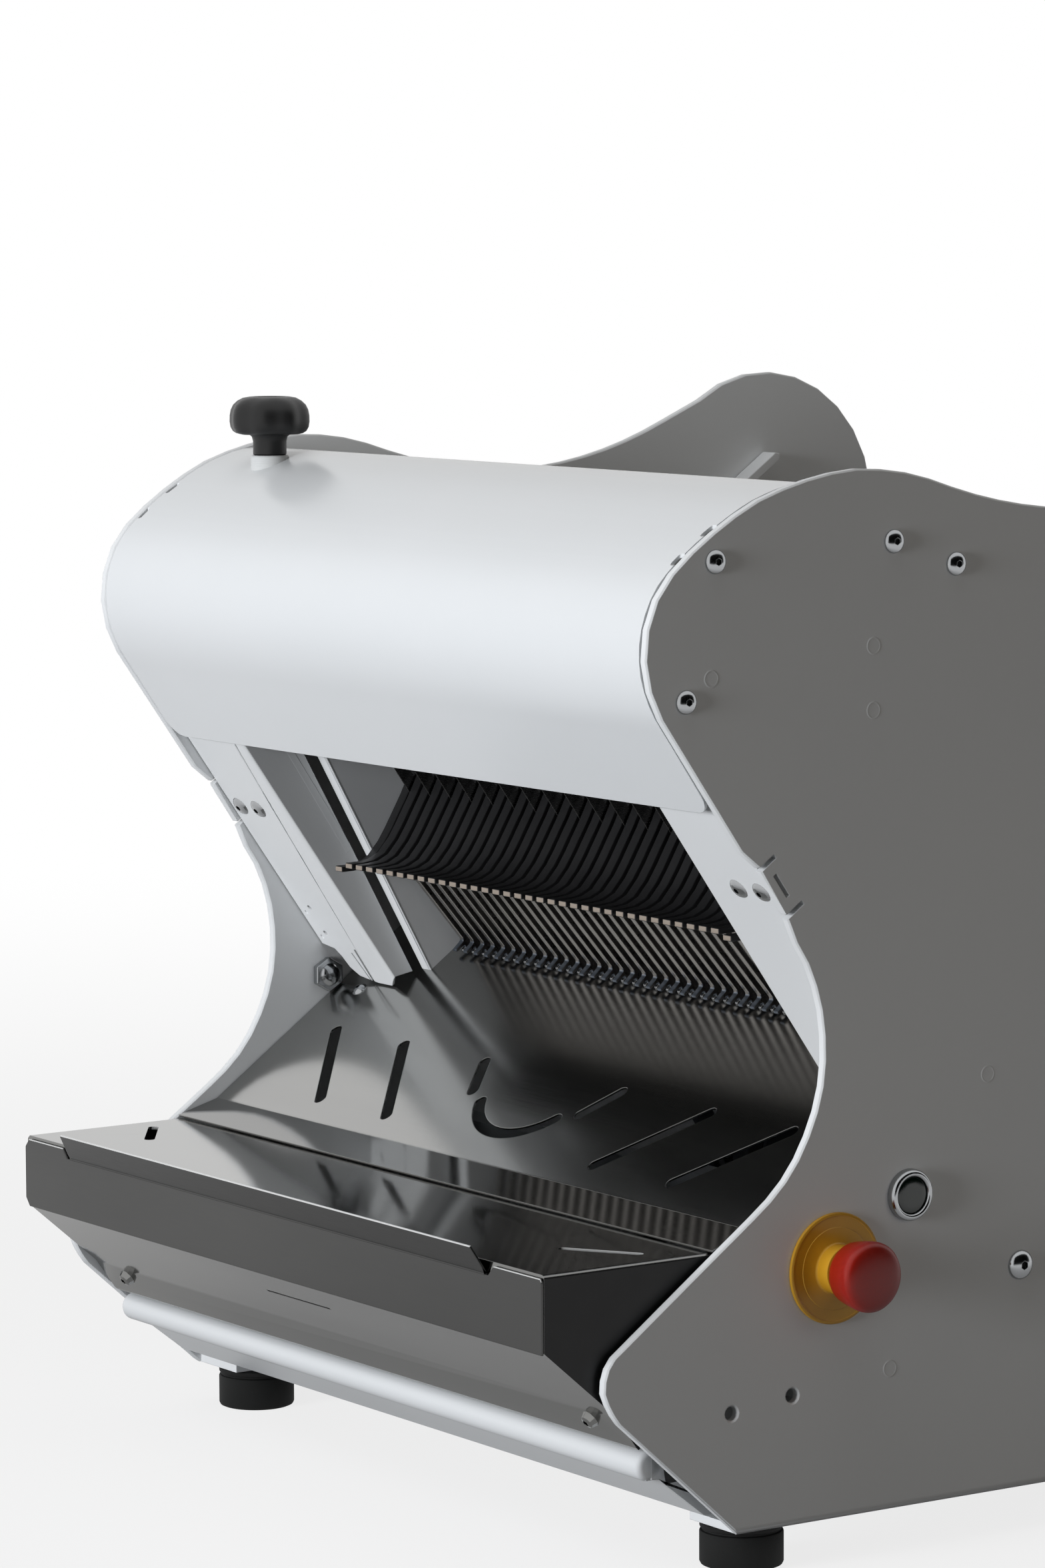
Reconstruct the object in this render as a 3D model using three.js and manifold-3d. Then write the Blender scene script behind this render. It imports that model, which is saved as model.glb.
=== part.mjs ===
import * as THREE from 'three';
import { mergeVertices } from 'three/addons/utils/BufferGeometryUtils.js';
import Module from 'manifold-3d';

const wasm = await Module();
wasm.setup();

// Overall sizes in millimetres, X across, Y to the rear, Z up from the lower edge of the side panels
const HALF_WIDTH = 300;
const PANEL_HEIGHT = 638.5;
const PANEL_THICK = 6;
const PANEL_CHAMFER = 1;
const SEAT_GAP = 0.3;
const FOOT_HEIGHT = 26;
const FOOT_RADIUS = 24.5;
const FOOT_X_SHARE = 0.88667;
const FOOT_YS_SHARES = [0.04072, 0.66562];
const SHEET = 2;
const THICK_SHEET = 3;
const SIDE_GAP = 0.9;
const INNER_FACE = HALF_WIDTH - PANEL_THICK;
const SHEET_END = INNER_FACE - SIDE_GAP;

// Slope of the bread path: s runs up and back along the bed, q runs square to it
const SLOPE = THREE.MathUtils.degToRad(35.46);
const COS = Math.cos(SLOPE);
const SIN = Math.sin(SLOPE);

// Stations along the bed and heights above it
const GUARD_S_SHARE = 0.36868;
const CHUTE_Q_SHARE = 0.20705;
const CHUTE_FRONT_S_SHARE = 0.17635;
const BED_Q_SHARE = 0.21926;
const BED_CLEAR = 2.6;
const BED_REAR_S_SHARE = 1.09632;

// Pitch of the slices and of both combs
const PITCH_SHARE = 0.04;
const FINGERS = 36;

// Side panel outline, listed from the front foot corner round the front, the top and the rear
const TOE_SHARES = [[-0.13187, 0.11715], [-0.14127, 0.13031], [-0.14832, 0.14612], [-0.14832, 0.15489],
  [-0.14471, 0.16758], [-0.13751, 0.17745]];
const WAIST_SHARES = [[-0.02271, 0.25951], [0.00673, 0.28034], [0.03493, 0.30133], [0.05654, 0.3231],
  [0.07142, 0.34581], [0.08269, 0.36883], [0.09021, 0.39233], [0.09381, 0.41597], [0.09381, 0.44009],
  [0.09084, 0.46437], [0.08395, 0.48912], [0.07267, 0.51402], [0.0556, 0.53923], [0.05341, 0.54957]];
const CLIP_TOP_SHARES = [0.02083, 0.59969];
const CHEEK_SHARES = [0.00172, 0.61472];
const CROWN_SHARES = [[-0.0686, 0.71339], [-0.08583, 0.73782], [-0.0971, 0.76179], [-0.10211, 0.78528],
  [-0.10133, 0.80846], [-0.09491, 0.83132], [-0.08207, 0.85403], [-0.05889, 0.87627], [-0.02803, 0.89851],
  [0.00987, 0.92044], [0.04009, 0.93218], [0.07439, 0.94158], [0.11151, 0.94816], [0.14002, 0.94957],
  [0.17009, 0.94691], [0.20031, 0.94174], [0.23101, 0.93234], [0.26186, 0.92357], [0.29272, 0.91652],
  [0.34597, 0.90854], [0.40971, 0.90603], [0.47831, 0.91449], [0.54785, 0.93359], [0.61817, 0.96319]];
const WING_CENTRE_SHARES = [0.72467, 0.85215];
const WING_RADIUS_SHARE = 0.14785;
const WING_FROM = THREE.MathUtils.degToRad(126);
const WING_TO = THREE.MathUtils.degToRad(-32);
const WING_STEPS = 12;
const BACK_SHARES = [[0.81754, 0.70791], [0.78309, 0.64526], [0.75176, 0.57165], [0.72984, 0.48551],
  [0.71887, 0.38371], [0.71887, 0.25059], [0.7267, 0.10963], [0.72984, 0.02193]];
const HEEL_SHARES = [0.71417, 0];
const TOE_STEPS = 6;
const WAIST_STEPS = 15;
const CROWN_STEPS = 32;
const BACK_STEPS = 8;

// Cut-outs of the side panel
const OPEN_HOLES_SHARES = [[-0.00955, 0.11229], [0.0581, 0.12013]];
const OPEN_HOLE_RADIUS = 4.3;
const HOLE_SIDES = 12;
const CLIP_SLIT_QS_SHARES = [0.42052, 0.47377];
const CLIP_SLIT_WIDTH = 3;
const CLIP_SLIT_LENGTH = 17;
const CLIP_EDGE_S_SHARE = 0.35803;
const CLIP_RECESS = 4;
const CLIP_SLOT_S_SHARES = [0.37275, 0.37682];
const CLIP_SLOT_Q_SHARES = [0.4354, 0.46045];
const LIP_INWARD = 50;
const LIP_THICK = 5;
const LIP_Y_SHARES = [0.0047, 0.68912];
const LIP_CORNER = 14;

// Hood between the panels
const HOOD_INSET = 2.4;
const HOOD_BOTTOM_SHARES = [-0.02036, 0.65074];
const HOOD_REAR_INDEX = 24;
const HOOD_LIP_DROP = 16;
const HOOD_CORNER = 13;
const HOOD_NOTCHES_SHARES = [[-0.02522, 0.90243], [-0.05998, 0.87862]];
const HOOD_NOTCH_DEPTH = 4;
const HOOD_NOTCH_HALF = 5;

// Guard uprights with their returns
const GUARD_INNER_SHARE = 0.755;
const GUARD_TOP_Q_SHARE = 0.6296;
const GUARD_FOOT_SHARES = [[0.97667, 0.25591], [0.93467, 0.25137], [0.92467, 0.24119], [0.91967, 0.22709],
  [0.9, 0.21691], [0.86533, 0.21363], [0.833, 0.21143], [0.78, 0.21143], [0.755, 0.22271]];
const GUARD_SLIT_SHARES = [[0.84333, 0.25529], [0.85133, 0.25529], [0.85667, 0.20987], [0.84867, 0.20987]];
const GUARD_PINS_SHARES = [[0.929, 0.30697], [0.93133, 0.27267]];
const GUARD_PIN_RADIUS = 2;
const RETURN_OUTLINE_SHARES = [[0.37212, 0.22271], [0.39154, 0.21378], [0.40955, 0.36962],
  [0.4166, 0.62647], [0.37212, 0.62647]];
const WALL_FOOT_S_SHARES = [0.41034, 0.45262];
const WALL_UPPER_SHARES = [[0.46985, 0.23493], [0.46985, 0.6202], [0.42913, 0.6202], [0.41895, 0.36962]];

// Chute with its openings, outlines across and along the slope
const SLOT_WIDTH = 9;
const CHUTE_SLOTS_SHARES = [[[0.82067, 0.2971], [0.64, 0.20752]], [[0.553, 0.29757], [0.379, 0.20658]],
  [[0.24633, 0.29867], [0.19333, 0.26124]]];
const SLOT_END_STEPS = 2;
const ARC_SLOT_CENTRE_S_SHARE = 0.29601;
const ARC_SLOT_RADII = [46, 55];
const ARC_SLOT_HALF = THREE.MathUtils.degToRad(54);
const ARC_SLOT_STEPS = 8;
const CHUTE_HEM = 4;

// Receiving shelf in front, a folded sheet box
const SHELF_Z_SHARE = 0.25685;
const SHELF_CLEAR = 2.5;
const SHELF_END = SHEET_END - SHELF_CLEAR;
const SHELF_NOSE_SHARES = [[-0.20204, 0.25372], [-0.20204, 0.18716], [-0.12529, 0.12138],
  [-0.10337, 0.09084], [-0.10086, 0.08865]];
const SHELF_REAR_Y_SHARE = 0.07204;
const SHELF_SIDE_REAR_SHARES = [0.06265, 0.18794];
const SHELF_HOLES_SHARES = [[-0.83333, -0.0971], [0.83333, -0.0971]];
const SHELF_HOLE_HALF = 4.5;
const SHELF_BOSSES_SHARES = [[-0.04385, 0.20517], [0.03446, 0.22396]];
const SHELF_BOSS_RADIUS = 8;
const UNDER_SLOT_X_SHARES = [-0.12, 0.11667];
const UNDER_SLOT_YZ_SHARES = [[-0.17541, 0.15662], [-0.16601, 0.15348], [-0.16132, 0.15818],
  [-0.17071, 0.16413]];
const FACE_OUTLINE_SHARES = [[-0.96867, 0.19421], [-0.95333, 0.18575], [0.96867, 0.18575],
  [0.96867, 0.25059], [0.96333, 0.25372], [0.81, 0.25372], [0.79167, 0.24432], [-0.79167, 0.24432],
  [-0.81, 0.25372], [-0.95333, 0.25372], [-0.96867, 0.24589]];
const TONGUE_LINE_SHARES = [[-0.20517, 0.23493], [-0.20517, 0.24589], [-0.21848, 0.26969]];
const TONGUE_PLAN_SHARES = [[-0.78, 0.21926], [0.78, 0.21926], [0.78, 0.25059], [0.76, 0.29757],
  [-0.76, 0.29757], [-0.78, 0.25059]];

// Crumb tray with its rolled front edge
const TRAY_CLEAR = 5.1;
const TRAY_HALF = SHEET_END - TRAY_CLEAR;
const TRAY_LINE_SHARES = [[0.33203, 0.05325], [0.33203, 0.01879], [-0.02662, 0.01879], [-0.07674, 0.05795],
  [-0.08927, 0.0581]];
const ROLL_CENTRE_SHARES = [-0.08551, 0.0711];
const ROLL_RADIUS = 9;
const ROLL_WALL = 2.4;
const ROLL_FROM = THREE.MathUtils.degToRad(66);
const ROLL_TO = THREE.MathUtils.degToRad(285);
const ROLL_STEPS = 9;
const TRAY_RUNNER_YS_SHARES = [0.0094, 0.3289];
const TRAY_LOW_Y_SHARE = -0.02506;
const TRAY_FRONT_Y_SHARE = -0.06813;

// Lower outfeed comb
const STRIP_WIDTH_SHARE = 0.31667;
const STRIP_S_SHARES = [0.43132, 0.43759];
const STRIP_TOP_Q_SHARE = 0.33516;
const COMB_BAR_S_SHARES = [0.43696, 0.46359];
const COMB_BAR_HEIGHT = 10.5;
const TOE_WIDTH_SHARE = 0.53333;
const TOE_LENGTH = 8.5;
const TOE_LINE_SHARES = [[0.1, 0.96], [-0.8, 0.52], [-1, 0.34], [-0.88, 0.04], [0.1, 0.04]];

// Upper finger comb of the pusher: the line of its hollow front face
const FINGER_WIDTH_SHARE = 0.66667;
const FINGER_THICK = 3.6;
const FINGER_TIP_S = 2;
const FINGER_LINE_SHARES = [[0.08958, 0.51872], [0.11746, 0.52091], [0.13156, 0.52780],
  [0.14487, 0.54283], [0.16210, 0.57071], [0.18042, 0.60423], [0.18481, 0.62020], [0.18512, 0.68912]];
const END_FINGER_DROP = 3;
const PUSHER_BAR_S_SHARES = [0.54816, 0.57322];
const PUSHER_BAR_Q_SHARES = [0.44166, 0.46985];
const PUSHER_PLATE_S_SHARES = [0.55442, 0.55912];
const PUSHER_PLATE_Q_SHARES = [0.23023, 0.44479];

// Carriage of the pusher and its rails
const RAIL_GAP = 0.4;
const RAIL_WIDTH = 14.6;
const RAIL_X = [INNER_FACE - RAIL_GAP - RAIL_WIDTH, INNER_FACE - RAIL_GAP];
const RAIL_Q_SHARES = [0.31637, 0.32576];
const RAIL_S_SHARES = [0.5419, 1.12294];
const RAIL_CORNER = 3;
const CROSS_TUBE_S_SHARE = 0.60141;
const CROSS_TUBE_Q_SHARE = 0.44792;
const CROSS_TUBE_RADIUS = 12;
const CROSS_TUBE_HALF_SHARE = 0.9;
const CARRIAGE_ARM_S_SHARES = [0.57948, 0.62334];
const CARRIAGE_ARM_X_SHARES = [0.86, 0.89333];
const SLIDER_S_SHARES = [0.56382, 0.65779];
const SLIDER_X_SHARES = [0.87333, 0.97];
const SLIDER_Q_SHARES = [0.30384, 0.33829];
const SLIDER_CLEAR = 0.6;
const LINK_X_SHARES = [0.4, 0.44667];
const LINK_S_SHARES = [0.57384, 0.58888];
const LINK_Q_SHARES = [0.43696, 0.45889];
const HANDLE_X_SHARE = 0.5;
const HANDLE_RADIUS = 9;
const HANDLE_S_SHARE = 0.84573;
const HANDLE_Q_SHARE = 0.43226;

// Blade frames, front and rear
const BLADE_THICK = 1;
const BLADE_DEPTH = 9;
const FRAME_S_SHARES = [[0.47925, 0.49491], [0.50431, 0.51997]];
const FRAME_POST_X_SHARES = [0.79333, 0.82667];
const LOWER_BAR_Q_SHARES = [0.12216, 0.15348];
const UPPER_BAR_Q_SHARES = [0.63273, 0.66406];
const BLADE_OVERLAP = 4;
const LUG_Q_SHARE = 0.09084;
const LUG_THICK = 4;
const PIN_Q_SHARE = 0.1065;
const PIN_RADIUS = 4;
const PIN_PROUD = 1.5;
const POST_INSET = 1;
const GROOVE_RIBS_S_SHARES = [[0.46907, 0.47831], [0.49585, 0.50337], [0.52091, 0.52999]];
const GUIDE_X_SHARES = [0.79, 0.87333];
const GUIDE_BACK_SHARE = 0.83333;
const GUIDE_Q_SHARES = [0.20047, 0.58262];
const GUIDE_FOOT_QS_SHARES = [[0.23493, 0.28191], [0.50117, 0.54816]];

// Drive: shaft with a crank disc at each end, rods, pulleys and belt
const SHAFT_S_SHARE = 0.49961;
const SHAFT_Q_SHARE = -0.07048;
const SHAFT_RADIUS = 9;
const THROW = 15;
const CRANK_RADIUS = 26;
const CRANK_NEAR_SHARE = 0.23333;
const CRANK_THICK = 10;
const ROD_EYE_RADIUS = 9;
const ROD_END_RADIUS = 13;
const ROD_THICK = 12;
const ROD_SHANK_WIDTH = 10;
const ROD_NUT_RADIUS = 8;
const ROD_NUT_HEIGHT = 5;
const RUN_GAP = 0.4;
const DISC_SIDES = 20;
const PIN_SIDES = 10;
const BLOCK_NEAR_SHARE = 0.12;
const BLOCK_LENGTH = 24;
const BLOCK_HALF_Y = 26;
const BLOCK_TOP = 24;
const BLOCK_SOLE = 10;
const PULLEY_WIDTH = 20;
const PULLEY_RADIUS = 48;
const PULLEY_FLANGE = 4;
const PULLEY_RIM = 3;
const BELT_THICK = 4;
const MOTOR_Y_SHARE = 0.60454;
const MOTOR_Z_SHARE = 0.20047;
const MOTOR_RADIUS_SHARE = 0.09084;
const MOTOR_X_SHARES = [0.1, 0.73333];
const MOTOR_FIN_COUNT = 12;
const MOTOR_FIN_DEPTH = 3;
const MOTOR_SHAFT_RADIUS = 7;
const MOTOR_PULLEY_SHARE = 0.5;
const DECK_Z_SHARE = 0.09084;
const DECK_FRONT_Y_SHARE = 0.36335;
const DECK_FLANGE = 18;
const MOTOR_FOOT_X_SHARES = [[0.18, 0.31333], [0.53333, 0.66667]];
const MOTOR_FOOT_SHARE = 0.75862;

// Cross beams, rear cover and loading bed
const BEAM_HALF = 12;
const BEAM_WALL = 2;
const UPPER_BEAM_SHARES = [0.20673, 0.87079];
const FRONT_BEAM_SHARES = [-0.03915, 0.81441];
const COVER_LINE_SHARES = [[0.68598, 0.01253], [0.70478, 0.01253], [0.70791, 0.09397], [0.70008, 0.25059],
  [0.70008, 0.38371], [0.71104, 0.48551], [0.73297, 0.56695], [0.76586, 0.64213], [0.78778, 0.68285],
  [0.79561, 0.70791]];
const VENT_ZS_SHARES = [0.17228, 0.2036, 0.23493, 0.26625, 0.29757, 0.3289];
const VENT_X_SHARES = [-0.36667, 0.36667];
const VENT_HEIGHT = 7;
const BED_HALF_SHARE = 0.77333;
const BED_WALL_Q_SHARE = 0.29131;

// Controls on the right panel
const STOP_YZ_SHARES = [0.10462, 0.23148];
const STOP_DISC_SHARES = [[0, 0], [1, 0], [1, 0.04308], [0.96615, 0.06769], [0.46769, 0.06769],
  [0.44308, 0.09231], [0.44308, 0.38769], [0.41846, 0.41231], [0.33846, 0.41231], [0.33846, 0.09231],
  [0, 0.09231]];
const STOP_KNOB_SHARES = [[0, 0.24], [0.326, 0.24], [0.326, 0.54], [0.41846, 0.58462],
  [0.57231, 0.81231], [0.62769, 0.94154], [0.63385, 1.02769], [0.60308, 1.10769], [0.50462, 1.17538],
  [0.30769, 1.21846], [0, 1.23077]];
const START_YZ_SHARES = [0.18904, 0.2899];
const START_BEZEL_SHARES = [[0.72368, 0], [1, 0], [1, 0.21053], [0.92105, 0.34211], [0.80263, 0.36842],
  [0.72368, 0.30263]];
const START_TRAVEL = 1.5;
const START_CAP_HEIGHT = 2.6;
const START_CAP_SHARES = [[0, 0], [1, 0], [1, 0.7], [0.92, 0.92], [0, 1]];
const STOP_RADIUS = 32.5;
const START_RADIUS = 15.2;
const CONTROL_SIDES = 20;

// Knob on the hood
const KNOB_X_SHARE = -0.76;
const KNOB_Y_SHARE = 0.02976;
const KNOB_BASE_Z_SHARE = 0.92404;
const COLLAR_SINK = 7;
const COLLAR_RADIUS = 12.5;
const COLLAR_HEIGHT = 7;
const KNOB_STEM = 10.7;
const KNOB_STEM_HEIGHT = 13;
const KNOB_RADIUS = 26;
const KNOB_LOBES = 8;
const KNOB_LOBE_DEPTH = 1.6;
const KNOB_HEIGHT = 24;
const KNOB_ROUND = 7;
const KNOB_ROUND_STEPS = 2;
const KNOB_SIDES = 32;

// Screws: radius and height of the domed head, socket across flats
const SCREW_RADIUS = 7;
const SCREW_HEIGHT = 4;
const BIG_SCREW_RADIUS = 8.8;
const BIG_SCREW_HEIGHT = 5;
const SCREW_SIDES = 10;
const DOME_STEPS = 2;
const SOCKET_SHARE = 0.36;
const SOCKET_DEPTH_SHARE = 0.6;
const PANEL_SCREWS_SHARES = [[-0.02725, 0.8733], [-0.0592, 0.75145], [0.17103, 0.88363],
  [0.24213, 0.86061]];
const PANEL_BIG_SCREW_SHARES = [0.32091, 0.21049];
const GUARD_SCREWS_X_SHARES = [0.94133, 0.869];
const GUARD_SCREWS_Q_SHARE = 0.44119;
const SHELF_SCREW_X_SHARE = 0.86167;
const SHELF_SCREW_SHARE = 0.36;
const SHELF_SCREW_SINK_SHARE = 0.03;
const SHELF_SCREW_RADIUS = 6;
const HEX_YZ_SHARES = [0.15662, 0.38998];
const HEX_RADIUS = 11;
const HEX_HEIGHT = 8;
const HEX_SIDES = 6;
const CHUTE_SCREW_X_SHARE = 0.88667;
const CHUTE_SCREW_S_SHARE = 0.35709;
const CHUTE_SCREW_RADIUS = 5.5;
const GLAND_XZ_SHARES = [0.6, 0.06265];
const GLAND_SHARES = [[0, 0], [1, 0], [1, 0.5], [0.75, 0.66667], [0.75, 1.5], [0.41667, 1.66667],
  [0, 1.66667]];
const GLAND_RADIUS = 12;
const GLAND_SIDES = 12;

// The tables above are shares of these sizes
const sized = (table, size) => (
  Array.isArray(table) ? table.map((entry) => sized(entry, size)) : table * size);
const tall = (table) => sized(table, PANEL_HEIGHT);
const wide = (table) => sized(table, HALF_WIDTH);
const spread = (table) => (Array.isArray(table[0]) ? table.map(spread) : [wide(table[0]), tall(table[1])]);
const GUARD_S = tall(GUARD_S_SHARE);
const CHUTE_Q = tall(CHUTE_Q_SHARE);
const CHUTE_FRONT_S = tall(CHUTE_FRONT_S_SHARE);
const BED_Q = tall(BED_Q_SHARE);
const BED_REAR_S = tall(BED_REAR_S_SHARE);
const CLIP_EDGE_S = tall(CLIP_EDGE_S_SHARE);
const GUARD_TOP_Q = tall(GUARD_TOP_Q_SHARE);
const ARC_SLOT_CENTRE_S = tall(ARC_SLOT_CENTRE_S_SHARE);
const SHELF_Z = tall(SHELF_Z_SHARE);
const SHELF_REAR_Y = tall(SHELF_REAR_Y_SHARE);
const STRIP_TOP_Q = tall(STRIP_TOP_Q_SHARE);
const CROSS_TUBE_S = tall(CROSS_TUBE_S_SHARE);
const CROSS_TUBE_Q = tall(CROSS_TUBE_Q_SHARE);
const HANDLE_S = tall(HANDLE_S_SHARE);
const HANDLE_Q = tall(HANDLE_Q_SHARE);
const LUG_Q = tall(LUG_Q_SHARE);
const PIN_Q = tall(PIN_Q_SHARE);
const SHAFT_S = tall(SHAFT_S_SHARE);
const SHAFT_Q = tall(SHAFT_Q_SHARE);
const MOTOR_Y = tall(MOTOR_Y_SHARE);
const MOTOR_Z = tall(MOTOR_Z_SHARE);
const DECK_Z = tall(DECK_Z_SHARE);
const BED_WALL_Q = tall(BED_WALL_Q_SHARE);
const GUARD_SCREWS_Q = tall(GUARD_SCREWS_Q_SHARE);
const CHUTE_SCREW_S = tall(CHUTE_SCREW_S_SHARE);
const KNOB_Y = tall(KNOB_Y_SHARE);
const KNOB_BASE_Z = tall(KNOB_BASE_Z_SHARE);
const WING_RADIUS = tall(WING_RADIUS_SHARE);
const FOOT_X = wide(FOOT_X_SHARE);
const GUARD_INNER = wide(GUARD_INNER_SHARE);
const PITCH = wide(PITCH_SHARE);
const CROSS_TUBE_HALF = wide(CROSS_TUBE_HALF_SHARE);
const HANDLE_X = wide(HANDLE_X_SHARE);
const GUIDE_BACK = wide(GUIDE_BACK_SHARE);
const BED_HALF = wide(BED_HALF_SHARE);
const SHELF_SCREW_X = wide(SHELF_SCREW_X_SHARE);
const CHUTE_SCREW_X = wide(CHUTE_SCREW_X_SHARE);
const KNOB_X = wide(KNOB_X_SHARE);
const CRANK_NEAR = wide(CRANK_NEAR_SHARE);
const BLOCK_NEAR = wide(BLOCK_NEAR_SHARE);
const FIRST_FINGER_X = -PITCH * (FINGERS - 1) / 2;
const FIRST_BLADE_X = FIRST_FINGER_X + PITCH / 2;
const STRIP_WIDTH = PITCH * STRIP_WIDTH_SHARE;
const TOE_WIDTH = PITCH * TOE_WIDTH_SHARE;
const FINGER_WIDTH = PITCH * FINGER_WIDTH_SHARE;
const PUSHER_HALF = PITCH * FINGERS / 2 - SHEET;
const MOTOR_RADIUS = tall(MOTOR_RADIUS_SHARE);
const MOTOR_FOOT_HALF = MOTOR_RADIUS * MOTOR_FOOT_SHARE;
const MOTOR_PULLEY_RADIUS = PULLEY_RADIUS * MOTOR_PULLEY_SHARE;
const FOOT_YS = tall(FOOT_YS_SHARES);
const TOE = tall(TOE_SHARES);
const WAIST = tall(WAIST_SHARES);
const CLIP_TOP = tall(CLIP_TOP_SHARES);
const CHEEK = tall(CHEEK_SHARES);
const CROWN = tall(CROWN_SHARES);
const WING_CENTRE = tall(WING_CENTRE_SHARES);
const BACK = tall(BACK_SHARES);
const HEEL = tall(HEEL_SHARES);
const OPEN_HOLES = tall(OPEN_HOLES_SHARES);
const CLIP_SLIT_QS = tall(CLIP_SLIT_QS_SHARES);
const CLIP_SLOT_S = tall(CLIP_SLOT_S_SHARES);
const CLIP_SLOT_Q = tall(CLIP_SLOT_Q_SHARES);
const LIP_Y = tall(LIP_Y_SHARES);
const HOOD_BOTTOM = tall(HOOD_BOTTOM_SHARES);
const HOOD_NOTCHES = tall(HOOD_NOTCHES_SHARES);
const GUARD_FOOT = spread(GUARD_FOOT_SHARES);
const GUARD_SLIT = spread(GUARD_SLIT_SHARES);
const GUARD_PINS = spread(GUARD_PINS_SHARES);
const RETURN_OUTLINE = tall(RETURN_OUTLINE_SHARES);
const WALL_FOOT_S = tall(WALL_FOOT_S_SHARES);
const WALL_UPPER = tall(WALL_UPPER_SHARES);
const CHUTE_SLOTS = spread(CHUTE_SLOTS_SHARES);
const SHELF_NOSE = tall(SHELF_NOSE_SHARES);
const SHELF_SIDE_REAR = tall(SHELF_SIDE_REAR_SHARES);
const SHELF_HOLES = spread(SHELF_HOLES_SHARES);
const SHELF_BOSSES = tall(SHELF_BOSSES_SHARES);
const UNDER_SLOT_X = wide(UNDER_SLOT_X_SHARES);
const UNDER_SLOT_YZ = tall(UNDER_SLOT_YZ_SHARES);
const FACE_OUTLINE = spread(FACE_OUTLINE_SHARES);
const TONGUE_LINE = tall(TONGUE_LINE_SHARES);
const TONGUE_PLAN = spread(TONGUE_PLAN_SHARES);
const TRAY_LINE = tall(TRAY_LINE_SHARES);
const ROLL_CENTRE = tall(ROLL_CENTRE_SHARES);
const TRAY_RUNNER_YS = tall(TRAY_RUNNER_YS_SHARES);
const STRIP_S = tall(STRIP_S_SHARES);
const COMB_BAR_S = tall(COMB_BAR_S_SHARES);
const FINGER_LINE = tall(FINGER_LINE_SHARES);
const PUSHER_BAR_S = tall(PUSHER_BAR_S_SHARES);
const PUSHER_BAR_Q = tall(PUSHER_BAR_Q_SHARES);
const PUSHER_PLATE_S = tall(PUSHER_PLATE_S_SHARES);
const PUSHER_PLATE_Q = tall(PUSHER_PLATE_Q_SHARES);
const RAIL_Q = tall(RAIL_Q_SHARES);
const RAIL_S = tall(RAIL_S_SHARES);
const CARRIAGE_ARM_S = tall(CARRIAGE_ARM_S_SHARES);
const CARRIAGE_ARM_X = wide(CARRIAGE_ARM_X_SHARES);
const SLIDER_S = tall(SLIDER_S_SHARES);
const SLIDER_X = wide(SLIDER_X_SHARES);
const SLIDER_Q = tall(SLIDER_Q_SHARES);
const LINK_X = wide(LINK_X_SHARES);
const LINK_S = tall(LINK_S_SHARES);
const LINK_Q = tall(LINK_Q_SHARES);
const FRAME_S = tall(FRAME_S_SHARES);
const FRAME_POST_X = wide(FRAME_POST_X_SHARES);
const LOWER_BAR_Q = tall(LOWER_BAR_Q_SHARES);
const UPPER_BAR_Q = tall(UPPER_BAR_Q_SHARES);
const GROOVE_RIBS_S = tall(GROOVE_RIBS_S_SHARES);
const GUIDE_X = wide(GUIDE_X_SHARES);
const GUIDE_Q = tall(GUIDE_Q_SHARES);
const GUIDE_FOOT_QS = tall(GUIDE_FOOT_QS_SHARES);
const MOTOR_X = wide(MOTOR_X_SHARES);
const MOTOR_FOOT_X = wide(MOTOR_FOOT_X_SHARES);
const COVER_LINE = tall(COVER_LINE_SHARES);
const VENT_ZS = tall(VENT_ZS_SHARES);
const VENT_X = wide(VENT_X_SHARES);
const STOP_YZ = tall(STOP_YZ_SHARES);
const STOP_DISC = sized(STOP_DISC_SHARES, STOP_RADIUS);
const STOP_KNOB = sized(STOP_KNOB_SHARES, STOP_RADIUS);
const START_YZ = tall(START_YZ_SHARES);
const START_BEZEL = sized(START_BEZEL_SHARES, START_RADIUS);
const PANEL_SCREWS = tall(PANEL_SCREWS_SHARES);
const PANEL_BIG_SCREW = tall(PANEL_BIG_SCREW_SHARES);
const GUARD_SCREWS_X = wide(GUARD_SCREWS_X_SHARES);
const HEX_YZ = tall(HEX_YZ_SHARES);
const GLAND_XZ = spread(GLAND_XZ_SHARES);
const GLAND = sized(GLAND_SHARES, GLAND_RADIUS);

// Axes used by the builders: the outline's two directions, the direction of its depth and its sense
const SIDE = [[0, 1, 0], [0, 0, 1], [1, 0, 0], 1];
const PLAN = [[1, 0, 0], [0, 1, 0], [0, 0, 1], 1];
const FRONT = [[1, 0, 0], [0, 0, 1], [0, -1, 0], -1];
const BED = [[1, 0, 0], [0, COS, SIN], [0, -SIN, COS], 1];
const ACROSS = [[1, 0, 0], [0, -SIN, COS], [0, -COS, -SIN], -1];
const SLOPED = [[0, COS, SIN], [0, -SIN, COS], [1, 0, 0], 1];

const toYZ = (s, q) => [COS * s - SIN * q, SIN * s + COS * q];

const solidOf = (geometry) => {
  const bare = geometry.index ? geometry.clone() : geometry;
  bare.deleteAttribute('normal');
  bare.deleteAttribute('uv');
  const merged = mergeVertices(bare);
  const mesh = new wasm.Mesh({
    numProp: 3,
    vertProperties: new Float32Array(merged.attributes.position.array),
    triVerts: new Uint32Array(merged.index.array),
  });
  return new wasm.Manifold(mesh);
};

const geometryOf = (solid) => {
  const mesh = solid.getMesh();
  const geometry = new THREE.BufferGeometry();
  geometry.setAttribute('position', new THREE.BufferAttribute(new Float32Array(mesh.vertProperties), 3));
  geometry.setIndex(new THREE.BufferAttribute(new Uint32Array(mesh.triVerts), 1));
  geometry.computeVertexNormals();
  return geometry;
};

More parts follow.
